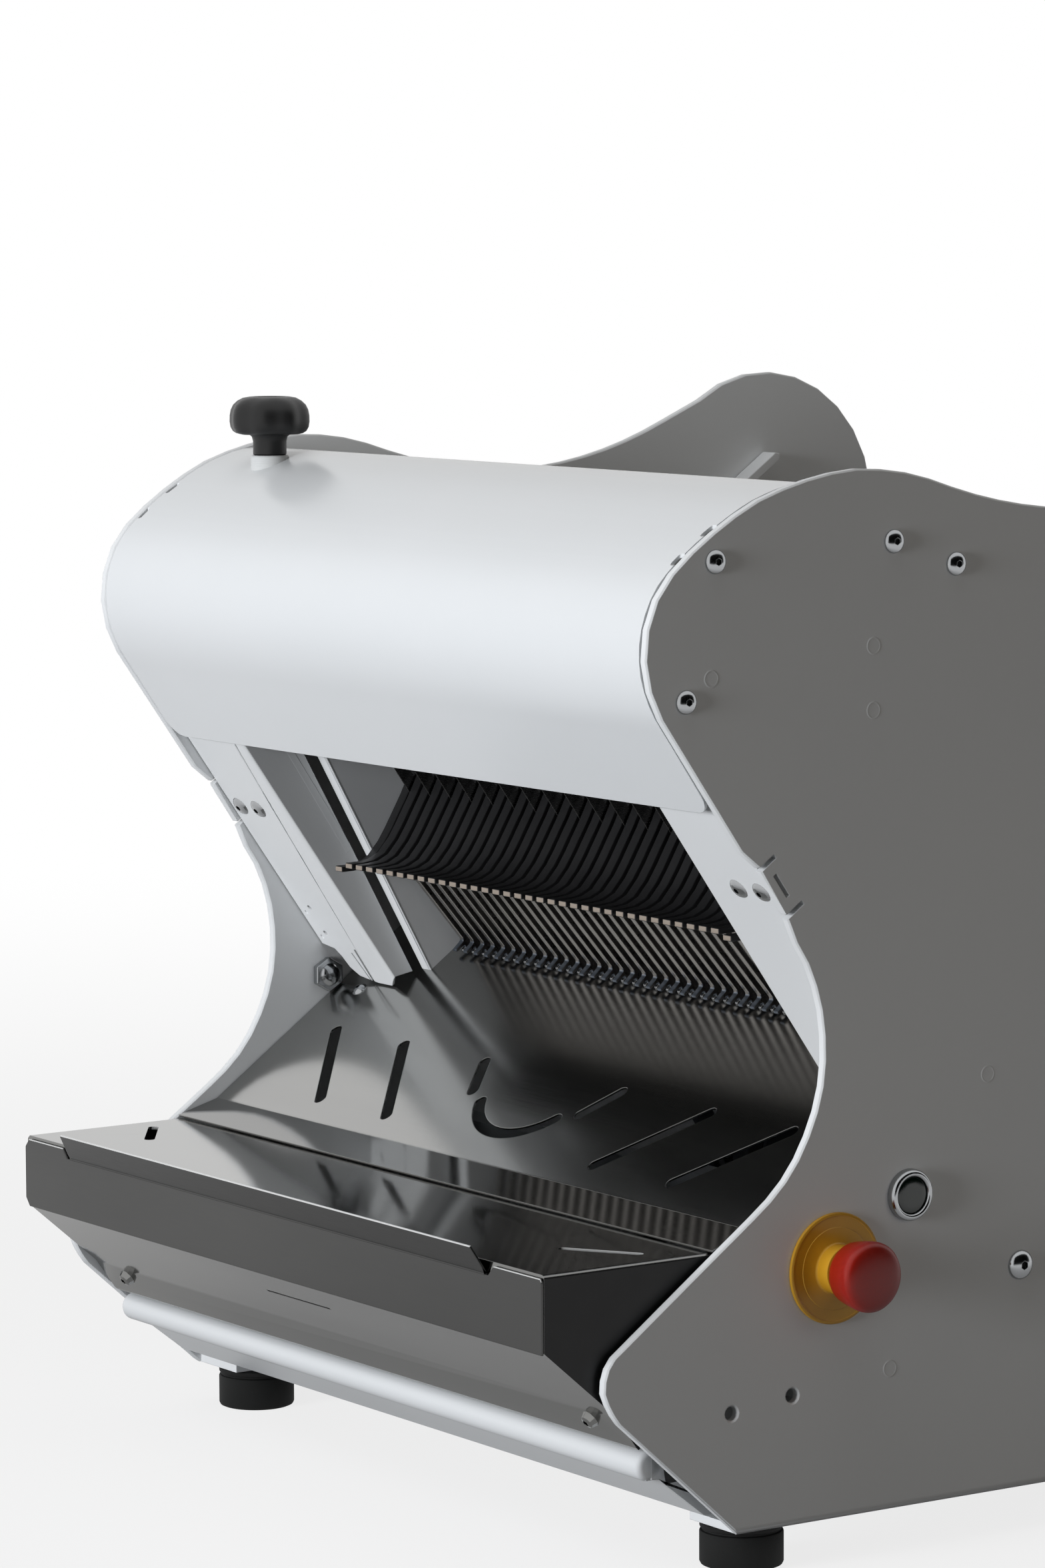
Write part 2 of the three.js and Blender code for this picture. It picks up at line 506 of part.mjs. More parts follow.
const basisOf = ([u, v, w]) => new THREE.Matrix4().makeBasis(
  new THREE.Vector3(...u), new THREE.Vector3(...v), new THREE.Vector3(...w));

const prism = (outline, axes, low, high, holes = [], chamfer = 0) => {
  const shape = new THREE.Shape(outline.map(([a, b]) => new THREE.Vector2(a, b)));
  for (const hole of holes) shape.holes.push(new THREE.Path(hole.map(([a, b]) => new THREE.Vector2(a, b))));
  const body = new THREE.ExtrudeGeometry(shape, {
    depth: high - low - chamfer * 2,
    bevelEnabled: chamfer > 0,
    bevelThickness: chamfer,
    bevelSize: chamfer,
    bevelOffset: -chamfer,
    bevelSegments: 1,
  });
  const start = axes[3] > 0 ? low : -high;
  body.translate(0, 0, start + chamfer);
  body.applyMatrix4(basisOf(axes));
  return solidOf(body);
};

const rectangle = ([a0, a1], [b0, b1]) => [[a0, b0], [a1, b0], [a1, b1], [a0, b1]];

const block = (axes, as, bs, cs) => prism(rectangle(as, bs), axes, cs[0], cs[1]);

const circle = ([a, b], radius, sides) => Array.from({ length: sides }, (_, i) => {
  const turn = i / sides * Math.PI * 2;
  return [a + radius * Math.cos(turn), b + radius * Math.sin(turn)];
});

const arcPoints = ([a, b], radius, from, to, steps) => Array.from({ length: steps + 1 }, (_, i) => {
  const turn = from + (to - from) * i / steps;
  return [a + radius * Math.cos(turn), b + radius * Math.sin(turn)];
});

const smooth = (points, steps) => new THREE.SplineCurve(points.map(([a, b]) => new THREE.Vector2(a, b)))
  .getSpacedPoints(steps).map((p) => [p.x, p.y]);

const offsetLine = (line, gap) => line.map((point, i) => {
  const before = i > 0 ? line[i - 1] : point;
  const after = i < line.length - 1 ? line[i + 1] : point;
  const normals = [[before, point], [point, after]].filter(([p, r]) => p !== r).map(([p, r]) => {
    const length = Math.hypot(r[0] - p[0], r[1] - p[1]);
    return [-(r[1] - p[1]) / length, (r[0] - p[0]) / length];
  });
  const first = normals[0];
  const last = normals[normals.length - 1];
  const scale = gap / (1 + first[0] * last[0] + first[1] * last[1]);
  return [point[0] + (first[0] + last[0]) * scale, point[1] + (first[1] + last[1]) * scale];
});

const ribbon = (line, thickness) => [...line, ...offsetLine(line, thickness).reverse()];

const roundSlot = ([from, to], width, steps) => {
  const turn = Math.atan2(to[1] - from[1], to[0] - from[0]);
  const quarter = Math.PI / 2;
  return [...arcPoints(to, width / 2, turn - quarter, turn + quarter, steps),
    ...arcPoints(from, width / 2, turn + quarter, turn + quarter * 3, steps)];
};

const union = (parts) => parts.reduce((sum, part) => sum.add(part));
const without = (body, parts) => parts.reduce((rest, part) => rest.subtract(part), body);

const mirrorX = (points) => points.map(([a, b]) => [-a, b]);

const turned = (profile, sides, axisDirection, position) => {
  const body = new THREE.LatheGeometry(profile.map(([r, h]) => new THREE.Vector2(r, h)), sides);
  const up = new THREE.Vector3(0, 1, 0);
  const turn = new THREE.Quaternion().setFromUnitVectors(up, new THREE.Vector3(...axisDirection).normalize());
  body.applyQuaternion(turn);
  body.translate(...position);
  return solidOf(body);
};

const runningBore = (radius) => (radius + RUN_GAP) / Math.cos(Math.PI / PIN_SIDES);

const barrel = (radius, sides, [x0, x1], [y, z]) => prism(circle([y, z], radius, sides), SIDE, x0, x1);

const screw = (radius, height, direction, position) => {
  const dome = arcPoints([0, 0], 1, 0, Math.PI / 2, DOME_STEPS).map(([a, b]) => [radius * a, height * b]);
  const head = turned([[0, 0], ...dome], SCREW_SIDES, direction, position);
  const socketFloor = height * (1 - SOCKET_DEPTH_SHARE);
  const socketRadius = radius * SOCKET_SHARE;
  const socketLine = [[0, socketFloor], [socketRadius, socketFloor], [socketRadius, height * 2],
    [0, height * 2]];
  const socket = turned(socketLine, HEX_SIDES, direction, position);
  return head.subtract(socket);
};

const group = new THREE.Group();
group.name = 'bench_bread_slicer';

const FINISHES = {
  powder: [0xdfe2e4, 0.4, 0.1],
  gloss: [0xe8ebed, 0.18, 0],
  steel: [0xb4b6b8, 0.24, 1],
  dark: [0x232324, 0.55, 0],
  grey: [0x85888b, 0.45, 0.6],
  bright: [0xc9cccf, 0.16, 1],
  iron: [0x5b5f63, 0.5, 0.8],
  rubber: [0x161616, 0.85, 0],
  yellow: [0xe3a91f, 0.45, 0],
  red: [0xc2261b, 0.35, 0],
  green: [0x0c3b2c, 0.3, 0],
  white: [0xe2e4e4, 0.5, 0],
};

const place = (name, solid, finish) => {
  const [color, roughness, metalness] = FINISHES[finish];
  const geometry = geometryOf(solid);
  const mesh = new THREE.Mesh(geometry, new THREE.MeshStandardMaterial({ color, roughness, metalness }));
  mesh.name = name;
  group.add(mesh);
};

const SIDES = [['right', 1], ['left', -1]];
const span = (sign, near, far) => (sign > 0 ? [near, far] : [-far, -near]);

// Side panels with the folded lip they stand on
const crown = smooth(CROWN, CROWN_STEPS);
const wing = arcPoints(WING_CENTRE, WING_RADIUS, WING_FROM, WING_TO, WING_STEPS);
const panelOutline = [[0, 0], ...smooth(TOE, TOE_STEPS), ...smooth(WAIST, WAIST_STEPS), CLIP_TOP, CHEEK,
  ...crown, ...wing, ...smooth(BACK, BACK_STEPS), HEEL];
const panelHoles = [...OPEN_HOLES.map((hole) => circle(hole, OPEN_HOLE_RADIUS, HOLE_SIDES))];

for (const [side, sign] of SIDES) {
  const sheet = prism(panelOutline, SIDE, ...span(sign, INNER_FACE, HALF_WIDTH), panelHoles, PANEL_CHAMFER);
  const lipNear = HALF_WIDTH - LIP_INWARD;
  const lipOutline = [[INNER_FACE + PANEL_CHAMFER, LIP_Y[0]], [lipNear + LIP_CORNER, LIP_Y[0]],
    [lipNear, LIP_Y[0] + LIP_CORNER], [lipNear, LIP_Y[1]], [INNER_FACE + PANEL_CHAMFER, LIP_Y[1]]];
  const lip = prism(sign > 0 ? lipOutline : mirrorX(lipOutline), PLAN, 0, LIP_THICK);
  const through = span(sign, INNER_FACE - PANEL_THICK, HALF_WIDTH + PANEL_THICK);
  const slits = CLIP_SLIT_QS.map((q) => block(SLOPED,
    [CLIP_EDGE_S - CLIP_SLIT_LENGTH, CLIP_EDGE_S + CLIP_SLIT_LENGTH],
    [q - CLIP_SLIT_WIDTH / 2, q + CLIP_SLIT_WIDTH / 2], through));
  const recessS = [CLIP_EDGE_S - CLIP_SLIT_LENGTH, CLIP_EDGE_S + CLIP_RECESS];
  const recess = block(SLOPED, recessS, CLIP_SLIT_QS, through);
  const slot = block(SLOPED, CLIP_SLOT_S, CLIP_SLOT_Q, through);
  place(`side_panel_${side}`, without(sheet.add(lip), [...slits, recess, slot]), 'powder');
}

// Curved hood between the panels
const hoodTop = crown.slice(0, HOOD_REAR_INDEX);
const hoodFace = offsetLine([CHEEK, ...hoodTop], -HOOD_INSET).slice(1);
const hoodEnd = hoodFace[hoodFace.length - 1];
const hoodLine = [HOOD_BOTTOM, ...hoodFace, [hoodEnd[0], hoodEnd[1] - HOOD_LIP_DROP]];
const hoodSheet = prism(ribbon(hoodLine, -SHEET), SIDE, -SHEET_END, SHEET_END);
const cornerCuts = SIDES.map(([, sign]) => {
  const outer = sign * (SHEET_END + SIDE_GAP);
  const inner = sign * (SHEET_END - HOOD_CORNER);
  const cornerQ = -SIN * HOOD_BOTTOM[0] + COS * HOOD_BOTTOM[1];
  const quarter = arcPoints([0, 0], HOOD_CORNER, 0, -Math.PI / 2, DOME_STEPS)
    .map(([a, b]) => [inner + sign * a, cornerQ + HOOD_CORNER + b]);
  const outline = [...quarter, [inner, cornerQ - SHEET], [outer, cornerQ - SHEET],
    [outer, cornerQ + HOOD_CORNER]];
  const ordered = sign > 0 ? outline : [...outline].reverse();
  return prism(ordered, ACROSS, GUARD_S - HOOD_CORNER, GUARD_S + HOOD_CORNER);
});
const hoodNotches = SIDES.flatMap(([, sign]) => HOOD_NOTCHES.map(([y, z]) => block(SIDE,
  [y - HOOD_NOTCH_HALF, y + HOOD_NOTCH_HALF], [z - HOOD_NOTCH_HALF, z + HOOD_NOTCH_HALF],
  span(sign, SHEET_END - HOOD_NOTCH_DEPTH, SHEET_END + SIDE_GAP))));
place('hood', without(hoodSheet, [...cornerCuts, ...hoodNotches]), 'gloss');

// Guard uprights and channel walls either side of the blades
for (const [side, sign] of SIDES) {
  const flip = (points) => (sign > 0 ? points : mirrorX(points));
  const foot = [[SHEET_END, GUARD_TOP_Q], ...GUARD_FOOT, [GUARD_INNER, GUARD_TOP_Q]];
  const pins = GUARD_PINS.map((pin) => circle(pin, GUARD_PIN_RADIUS, PIN_SIDES));
  const face = prism(flip(foot), ACROSS, GUARD_S, GUARD_S + SHEET, pins.map(flip));
  const slit = prism(flip(GUARD_SLIT), ACROSS, GUARD_S - SHEET, GUARD_S + SHEET * 2);
  const back = prism(RETURN_OUTLINE, SLOPED, ...span(sign, GUARD_INNER, GUARD_INNER + SHEET));
  const joint = block(SLOPED, [GUARD_S, GUARD_S + SHEET * 2], [GUARD_FOOT[8][1], RETURN_OUTLINE[3][1]],
    span(sign, GUARD_INNER, GUARD_INNER + SHEET));
  place(`guard_upright_${side}`, union([face.subtract(slit), joint, back]), 'powder');
  const wallFoot = WALL_FOOT_S.map((s) => [s, CHUTE_Q + SEAT_GAP]);
  const wall = prism([...wallFoot, ...WALL_UPPER], SLOPED, ...span(sign, GUARD_INNER, GUARD_INNER + SHEET));
  place(`channel_wall_${side}`, wall, 'grey');
}

// Chute with splayed slots and one plain curved slot
const chuteRear = GROOVE_RIBS_S[0][0] - SEAT_GAP;
const chuteLine = [[CHUTE_FRONT_S, CHUTE_Q - CHUTE_HEM], [CHUTE_FRONT_S, CHUTE_Q], [chuteRear, CHUTE_Q]];
const chuteSheet = prism(ribbon(chuteLine, -SHEET), SLOPED, -SHEET_END, SHEET_END);
const chuteCut = [CHUTE_Q - SHEET * 2, CHUTE_Q + SHEET];
const splayed = CHUTE_SLOTS.flatMap((ends) => SIDES.map(([, sign]) => {
  const outline = roundSlot(ends.map(([x, s]) => [sign * x, s]), SLOT_WIDTH, SLOT_END_STEPS);
  return prism(outline, BED, ...chuteCut);
}));
const arcCentre = [0, ARC_SLOT_CENTRE_S];
const arcEnds = [-Math.PI / 2 - ARC_SLOT_HALF, -Math.PI / 2 + ARC_SLOT_HALF];
const curved = prism([
  ...arcPoints(arcCentre, ARC_SLOT_RADII[1], arcEnds[0], arcEnds[1], ARC_SLOT_STEPS),
  ...arcPoints(arcCentre, ARC_SLOT_RADII[0], arcEnds[1], arcEnds[0], ARC_SLOT_STEPS)], BED, ...chuteCut);
const chuteScrews = SIDES.map(([, sign]) => screw(CHUTE_SCREW_RADIUS, SCREW_HEIGHT + SHEET, [0, -SIN, COS],
  [sign * CHUTE_SCREW_X, ...toYZ(CHUTE_SCREW_S, CHUTE_Q - SHEET / 2)]));
place('chute', union([without(chuteSheet, [...splayed, curved]), ...chuteScrews]), 'steel');

// Receiving shelf, a folded sheet box with closed ends
const shelfLine = [[SHELF_REAR_Y, SHELF_Z], [SHELF_NOSE[0][0], SHELF_Z], ...SHELF_NOSE.slice(1)];
const shelfSheet = prism(ribbon(shelfLine, SHEET), SIDE, -SHELF_END, SHELF_END);
const shelfMiddle = offsetLine(shelfLine, SHEET / 2);
const shelfSide = [...shelfMiddle.slice(1, -1), SHELF_SIDE_REAR, [SHELF_SIDE_REAR[0], shelfMiddle[0][1]]];
const shelfEnds = SIDES.map(([, sign]) => prism(shelfSide, SIDE,
  ...span(sign, SHELF_END - SHEET, SHELF_END)));
const shelfHoles = SHELF_HOLES.map(([x, y]) => block(PLAN, [x - SHELF_HOLE_HALF, x + SHELF_HOLE_HALF],
  [y - SHELF_HOLE_HALF, y + SHELF_HOLE_HALF], [SHELF_Z - SHEET * 2, SHELF_Z + SHEET]));
const underSlot = prism(UNDER_SLOT_YZ, SIDE, ...UNDER_SLOT_X);
const [lowA, lowB] = [SHELF_NOSE[2], SHELF_NOSE[3]];
const lowSlope = [lowB[0] - lowA[0], lowB[1] - lowA[1]];
const shelfScrewYZ = [
  lowA[0] + lowSlope[0] * SHELF_SCREW_SHARE - lowSlope[1] * SHELF_SCREW_SINK_SHARE,
  lowA[1] + lowSlope[1] * SHELF_SCREW_SHARE + lowSlope[0] * SHELF_SCREW_SINK_SHARE];
const shelfScrews = SIDES.map(([, sign]) => screw(SHELF_SCREW_RADIUS, SCREW_HEIGHT + SHEET,
  [0, lowSlope[1], -lowSlope[0]], [sign * SHELF_SCREW_X, ...shelfScrewYZ]));
const shelfBosses = SIDES.flatMap(([, sign]) => SHELF_BOSSES.map((yz) => barrel(SHELF_BOSS_RADIUS, PIN_SIDES,
  span(sign, SHELF_END - SHEET, INNER_FACE - SEAT_GAP), yz)));
place('receiving_shelf', union([without(union([shelfSheet, ...shelfEnds]), [...shelfHoles, underSlot]),
  ...shelfScrews, ...shelfBosses]), 'steel');

const faceY = SHELF_NOSE[0][0] - SHEET;
const facePlate = prism(FACE_OUTLINE, FRONT, faceY, faceY + SHEET - SEAT_GAP);
const tongueSheet = prism(ribbon(TONGUE_LINE, -SHEET + SEAT_GAP), SIDE, -HALF_WIDTH, HALF_WIDTH);
const tongue = tongueSheet.intersect(prism(TONGUE_PLAN, FRONT, faceY - SHELF_END, faceY + SHELF_END));
place('shelf_face', facePlate.add(tongue), 'steel');

// Crumb tray with its rolled grip edge
const trayTop = TRAY_LINE[0][1];
const trayLow = TRAY_LINE[1][1];
const runnerLow = LIP_THICK + SEAT_GAP;
const traySide = [[PANEL_HEIGHT * TRAY_LOW_Y_SHARE, trayLow], [TRAY_RUNNER_YS[0], trayLow],
  [TRAY_RUNNER_YS[0], runnerLow], [TRAY_RUNNER_YS[1], runnerLow], [TRAY_RUNNER_YS[1], trayTop],
  [PANEL_HEIGHT * TRAY_FRONT_Y_SHARE, trayTop]];
const trayFloor = prism(ribbon(TRAY_LINE, -SHEET), SIDE, -TRAY_HALF, TRAY_HALF);
const trayEnds = SIDES.map(([, sign]) => prism(traySide, SIDE, ...span(sign, TRAY_HALF - SHEET, TRAY_HALF)));
const rollLine = arcPoints(ROLL_CENTRE, ROLL_RADIUS, ROLL_FROM, ROLL_TO, ROLL_STEPS);
const roll = prism(ribbon(rollLine, ROLL_WALL), SIDE, -TRAY_HALF, TRAY_HALF);
place('crumb_tray', union([trayFloor, roll, ...trayEnds]), 'gloss');

// Lower outfeed comb: upright strips on the blade lines, short noses between them
const combQ = [CHUTE_Q + SEAT_GAP, CHUTE_Q + SEAT_GAP + COMB_BAR_HEIGHT];
const toeLine = TOE_LINE_SHARES.map(([s, q]) => [
  COMB_BAR_S[0] + TOE_LENGTH * s, combQ[0] + COMB_BAR_HEIGHT * q]);
const bar = block(SLOPED, COMB_BAR_S, combQ, [-PUSHER_HALF, PUSHER_HALF]);
const strips = Array.from({ length: FINGERS - 1 }, (_, i) => {
  const x = FIRST_BLADE_X + PITCH * i;
  return block(SLOPED, STRIP_S, [combQ[0] + SEAT_GAP, STRIP_TOP_Q],
    [x - STRIP_WIDTH / 2, x + STRIP_WIDTH / 2]);
});
const toes = Array.from({ length: FINGERS }, (_, i) => {
  const x = FIRST_FINGER_X + PITCH * i;
  return prism(toeLine, SLOPED, x - TOE_WIDTH / 2, x + TOE_WIDTH / 2);
});
place('outfeed_comb', union([bar, ...strips, ...toes]), 'grey');

// Pusher: finger comb, its bar and the face plate behind the blades
const fingers = Array.from({ length: FINGERS }, (_, i) => {
  const x = FIRST_FINGER_X + PITCH * i;
  const drop = i === 0 || i === FINGERS - 1 ? END_FINGER_DROP : 0;
  const line = FINGER_LINE.map(([y, z], k) => [y, k < FINGER_TIP_S ? z - drop : z]);
  return prism(ribbon(line, -FINGER_THICK), SIDE, x - FINGER_WIDTH / 2, x + FINGER_WIDTH / 2);
});
const pusherBar = block(SLOPED, PUSHER_BAR_S, PUSHER_BAR_Q, [-PUSHER_HALF, PUSHER_HALF]);
const pusherPlate = block(SLOPED, PUSHER_PLATE_S, PUSHER_PLATE_Q, [-PUSHER_HALF, PUSHER_HALF]);
place('pusher_comb', union([pusherBar, pusherPlate, ...fingers]), 'dark');

// Carriage: cross tube, arms, sliders on the rails and the grip behind the hood
const crossTube = barrel(CROSS_TUBE_RADIUS, DISC_SIDES, [-CROSS_TUBE_HALF, CROSS_TUBE_HALF],
  toYZ(CROSS_TUBE_S, CROSS_TUBE_Q));
const carriageParts = SIDES.flatMap(([, sign]) => {
  const arm = block(SLOPED, CARRIAGE_ARM_S, [SLIDER_Q[0], CROSS_TUBE_Q + CROSS_TUBE_RADIUS],
    span(sign, ...CARRIAGE_ARM_X));
  const slider = block(SLOPED, SLIDER_S, SLIDER_Q, span(sign, ...SLIDER_X));
  const groove = block(SLOPED, [SLIDER_S[0] - SHEET, SLIDER_S[1] + SHEET],
    [RAIL_Q[0] - SLIDER_CLEAR, RAIL_Q[1] + SLIDER_CLEAR], span(sign, RAIL_X[0] - SLIDER_CLEAR, HALF_WIDTH));
  const link = block(SLOPED, LINK_S, LINK_Q, span(sign, ...LINK_X));
  const grip = prism(circle([sign * HANDLE_X, HANDLE_Q], HANDLE_RADIUS, PIN_SIDES), ACROSS,
    CROSS_TUBE_S, HANDLE_S);
  return [arm.add(slider).subtract(groove), link, grip];
});
const gripBar = barrel(HANDLE_RADIUS, PIN_SIDES, [-HANDLE_X - HANDLE_RADIUS, HANDLE_X + HANDLE_RADIUS],
  toYZ(HANDLE_S, HANDLE_Q));
place('pusher_carriage', union([crossTube, gripBar, ...carriageParts]), 'grey');

for (const [side, sign] of SIDES) {
  const [s0, s1] = RAIL_S;
  const [q0, q1] = RAIL_Q;
  const outline = [[s0, q0], [s1 - RAIL_CORNER, q0], [s1, q0 + RAIL_CORNER],
    [s1 - RAIL_CORNER, q1], [s0, q1]];
  place(`slide_rail_${side}`, prism(outline, SLOPED, ...span(sign, ...RAIL_X)), 'powder');
}

// Two blade frames carrying alternate blades, each with a fork for its rod
const rodX = CRANK_NEAR + CRANK_THICK + SEAT_GAP + ROD_THICK / 2;
const rodXs = [-rodX, rodX];
const forkHalf = ROD_THICK / 2 + SEAT_GAP;
const frameNames = ['blade_frame_front', 'blade_frame_rear'];
FRAME_S.forEach(([s0, s1], which) => {
  const middle = (s0 + s1) / 2;
  const bars = [LOWER_BAR_Q, UPPER_BAR_Q].map((qs) => block(SLOPED, [s0, s1], qs,
    [-FRAME_POST_X[1], FRAME_POST_X[1]]));
  const inner = [s0 + POST_INSET, s1 - POST_INSET];
  const postQ = [LOWER_BAR_Q[0] + POST_INSET, UPPER_BAR_Q[1] - POST_INSET];
  const posts = SIDES.map(([, sign]) => block(SLOPED, inner, postQ,
    span(sign, FRAME_POST_X[0], FRAME_POST_X[1] - POST_INSET)));
  const bladeFront = middle - BLADE_DEPTH / 2;
  const bladeBack = bladeFront + BLADE_DEPTH;
  const blades = Array.from({ length: FINGERS - 1 }, (_, i) => i).filter((i) => i % 2 === which).map((i) => {
    const x = FIRST_BLADE_X + PITCH * i;
    const half = BLADE_THICK / 2;
    const outline = [[x, bladeFront], [x + half, bladeBack], [x - half, bladeBack]];
    return prism(outline, BED, LOWER_BAR_Q[1] - BLADE_OVERLAP, UPPER_BAR_Q[0] + BLADE_OVERLAP);
  });
  const lugs = SIDES.map(([, sign]) => {
    const xs = span(sign, forkHalf, forkHalf + LUG_THICK).map((x) => x + rodXs[which]);
    return block(SLOPED, inner, [LUG_Q, LOWER_BAR_Q[0] + LUG_THICK], xs);
  });
  const pinHalf = forkHalf + LUG_THICK + PIN_PROUD;
  const pin = prism(circle([middle, PIN_Q], PIN_RADIUS, PIN_SIDES), SLOPED,
    rodXs[which] - pinHalf, rodXs[which] + pinHalf);
  place(frameNames[which], union([...bars, ...posts, ...blades, ...lugs, pin]), 'bright');
});

// Grooved guides the frames run in
for (const [side, sign] of SIDES) {
  const back = block(SLOPED, [GROOVE_RIBS_S[0][0], GROOVE_RIBS_S[2][1]], GUIDE_Q,
    span(sign, GUIDE_BACK, GUIDE_X[1]));
  const ribs = GROOVE_RIBS_S.map((ss) => block(SLOPED, ss, GUIDE_Q, span(sign, GUIDE_X[0], GUIDE_X[1])));
  const feet = GUIDE_FOOT_QS.map((qs) => block(SLOPED, GROOVE_RIBS_S[1], qs,
    span(sign, GUIDE_BACK, INNER_FACE - SEAT_GAP)));
  place(`frame_guide_${side}`, union([back, ...ribs, ...feet]), 'dark');
}

// Drive shaft with a crank disc at each end
const shaftYZ = toYZ(SHAFT_S, SHAFT_Q);
const shaftX = [-CRANK_NEAR - CRANK_THICK, CRANK_NEAR + CRANK_THICK];
const cranks = SIDES.map(([, sign]) => prism(circle([SHAFT_S, SHAFT_Q], CRANK_RADIUS, DISC_SIDES), SLOPED,
  ...span(sign, CRANK_NEAR, CRANK_NEAR + CRANK_THICK)));
place('drive_shaft', union([barrel(SHAFT_RADIUS, PIN_SIDES, shaftX, shaftYZ), ...cranks]), 'bright');

// Connecting rods on opposed cranks: eye on the pin of the frame, solid end with the crank bolt's nut
const rodNames = ['rod_front', 'rod_rear'];
FRAME_S.forEach(([s0, s1], which) => {
  const side = which === 0 ? -1 : 1;
  const eye = [(s0 + s1) / 2, PIN_Q];
  const end = [SHAFT_S + side * THROW, SHAFT_Q];
  const xs = [rodXs[which] - ROD_THICK / 2, rodXs[which] + ROD_THICK / 2];
  const length = Math.hypot(end[0] - eye[0], end[1] - eye[1]);
  const [ds, dq] = [(end[0] - eye[0]) / length, (end[1] - eye[1]) / length];
  const half = ROD_SHANK_WIDTH / 2;
  const shank = [[-half, 0], [half, 0], [half, length], [-half, length]].map(([w, l]) =>
    [eye[0] - dq * w + ds * l, eye[1] + ds * w + dq * l]);
  const bore = prism(circle(eye, runningBore(PIN_RADIUS), PIN_SIDES), SLOPED,
    xs[0] - ROD_THICK, xs[1] + ROD_THICK);
  const nut = prism(circle(end, ROD_NUT_RADIUS, HEX_SIDES), SLOPED,
    ...span(side, rodX, rodX + ROD_THICK / 2 + ROD_NUT_HEIGHT));
  const body = union([prism(circle(end, ROD_END_RADIUS, DISC_SIDES), SLOPED, ...xs),
    prism(circle(eye, ROD_EYE_RADIUS, DISC_SIDES), SLOPED, ...xs), prism(shank, SLOPED, ...xs), nut]);
  place(rodNames[which], body.subtract(bore), 'iron');
});

// Bearing bridge on the drive deck, two blocks on one sole
const bearingBlocks = SIDES.map(([, sign]) => {
  const xs = span(sign, BLOCK_NEAR, BLOCK_NEAR + BLOCK_LENGTH);
  const outline = [
    [shaftYZ[0] - BLOCK_HALF_Y, DECK_Z + SEAT_GAP], [shaftYZ[0] + BLOCK_HALF_Y, DECK_Z + SEAT_GAP],
    [shaftYZ[0] + BLOCK_TOP, shaftYZ[1]], [shaftYZ[0] + BLOCK_TOP / 2, shaftYZ[1] + BLOCK_TOP],
    [shaftYZ[0] - BLOCK_TOP / 2, shaftYZ[1] + BLOCK_TOP], [shaftYZ[0] - BLOCK_TOP, shaftYZ[1]]];
  const bore = circle(shaftYZ, runningBore(SHAFT_RADIUS), PIN_SIDES);
  return prism(outline, SIDE, ...xs, [bore]);
});
const sole = block(SIDE, [shaftYZ[0] - BLOCK_HALF_Y, shaftYZ[0] + BLOCK_HALF_Y],
  [DECK_Z + SEAT_GAP, DECK_Z + BLOCK_SOLE], [-BLOCK_NEAR - BLOCK_LENGTH, BLOCK_NEAR + BLOCK_LENGTH]);
place('bearing_bridge', union([...bearingBlocks, sole]), 'iron');

// Pulleys and belt on the middle of the shaft
const pulleyX = [-PULLEY_WIDTH / 2, PULLEY_WIDTH / 2];
const pulleyOf = (radius, centre) => {
  const rim = prism(circle(centre, radius, DISC_SIDES), SIDE, ...pulleyX);
  const flanges = SIDES.map(([, sign]) => prism(circle(centre, radius + PULLEY_FLANGE, DISC_SIDES), SIDE,
    ...span(sign, pulleyX[1] - PULLEY_RIM, pulleyX[1])));
  return union([rim, ...flanges]);
};
const motorYZ = [MOTOR_Y, MOTOR_Z];
const shaftHole = barrel(SHAFT_RADIUS + SEAT_GAP, PIN_SIDES, [-PULLEY_WIDTH, PULLEY_WIDTH], shaftYZ);
place('driven_pulley', pulleyOf(PULLEY_RADIUS, shaftYZ).subtract(shaftHole), 'iron');
const motorShaft = barrel(MOTOR_SHAFT_RADIUS, PIN_SIDES,
  [pulleyX[0] - PULLEY_RIM, MOTOR_X[0] - SEAT_GAP], motorYZ);
place('motor_pulley', pulleyOf(MOTOR_PULLEY_RADIUS, motorYZ).add(motorShaft), 'iron');

const beltLoop = (extra) => {
  const dy = motorYZ[0] - shaftYZ[0];
  const dz = motorYZ[1] - shaftYZ[1];
  const heading = Math.atan2(dz, dy);
  const lean = Math.acos((PULLEY_RADIUS - MOTOR_PULLEY_RADIUS) / Math.hypot(dy, dz));
  return [
    ...arcPoints(motorYZ, MOTOR_PULLEY_RADIUS + extra, heading - lean, heading + lean, DISC_SIDES / 2),
    ...arcPoints(shaftYZ, PULLEY_RADIUS + extra, heading + lean, heading - lean + Math.PI * 2, DISC_SIDES)];
};
const beltXs = [pulleyX[0] + PULLEY_RIM + RUN_GAP, pulleyX[1] - PULLEY_RIM - RUN_GAP];
place('drive_belt', prism(beltLoop(RUN_GAP + BELT_THICK), SIDE, ...beltXs, [beltLoop(RUN_GAP)]), 'rubber');

// Motor with cooling fins and its feet
const finned = Array.from({ length: MOTOR_FIN_COUNT * 4 }, (_, i) => {
  const turn = i / (MOTOR_FIN_COUNT * 4) * Math.PI * 2;
  const radius = i % 4 < 2 ? MOTOR_RADIUS : MOTOR_RADIUS - MOTOR_FIN_DEPTH;
  return [motorYZ[0] + radius * Math.cos(turn), motorYZ[1] + radius * Math.sin(turn)];
});
const motorFeet = MOTOR_FOOT_X.map((xs) => block(SIDE, [MOTOR_Y - MOTOR_FOOT_HALF, MOTOR_Y + MOTOR_FOOT_HALF],
  [DECK_Z + SEAT_GAP, MOTOR_Z - MOTOR_FOOT_HALF], xs));
place('motor', union([prism(finned, SIDE, ...MOTOR_X), ...motorFeet]), 'grey');
const deckFront = tall(DECK_FRONT_Y_SHARE);
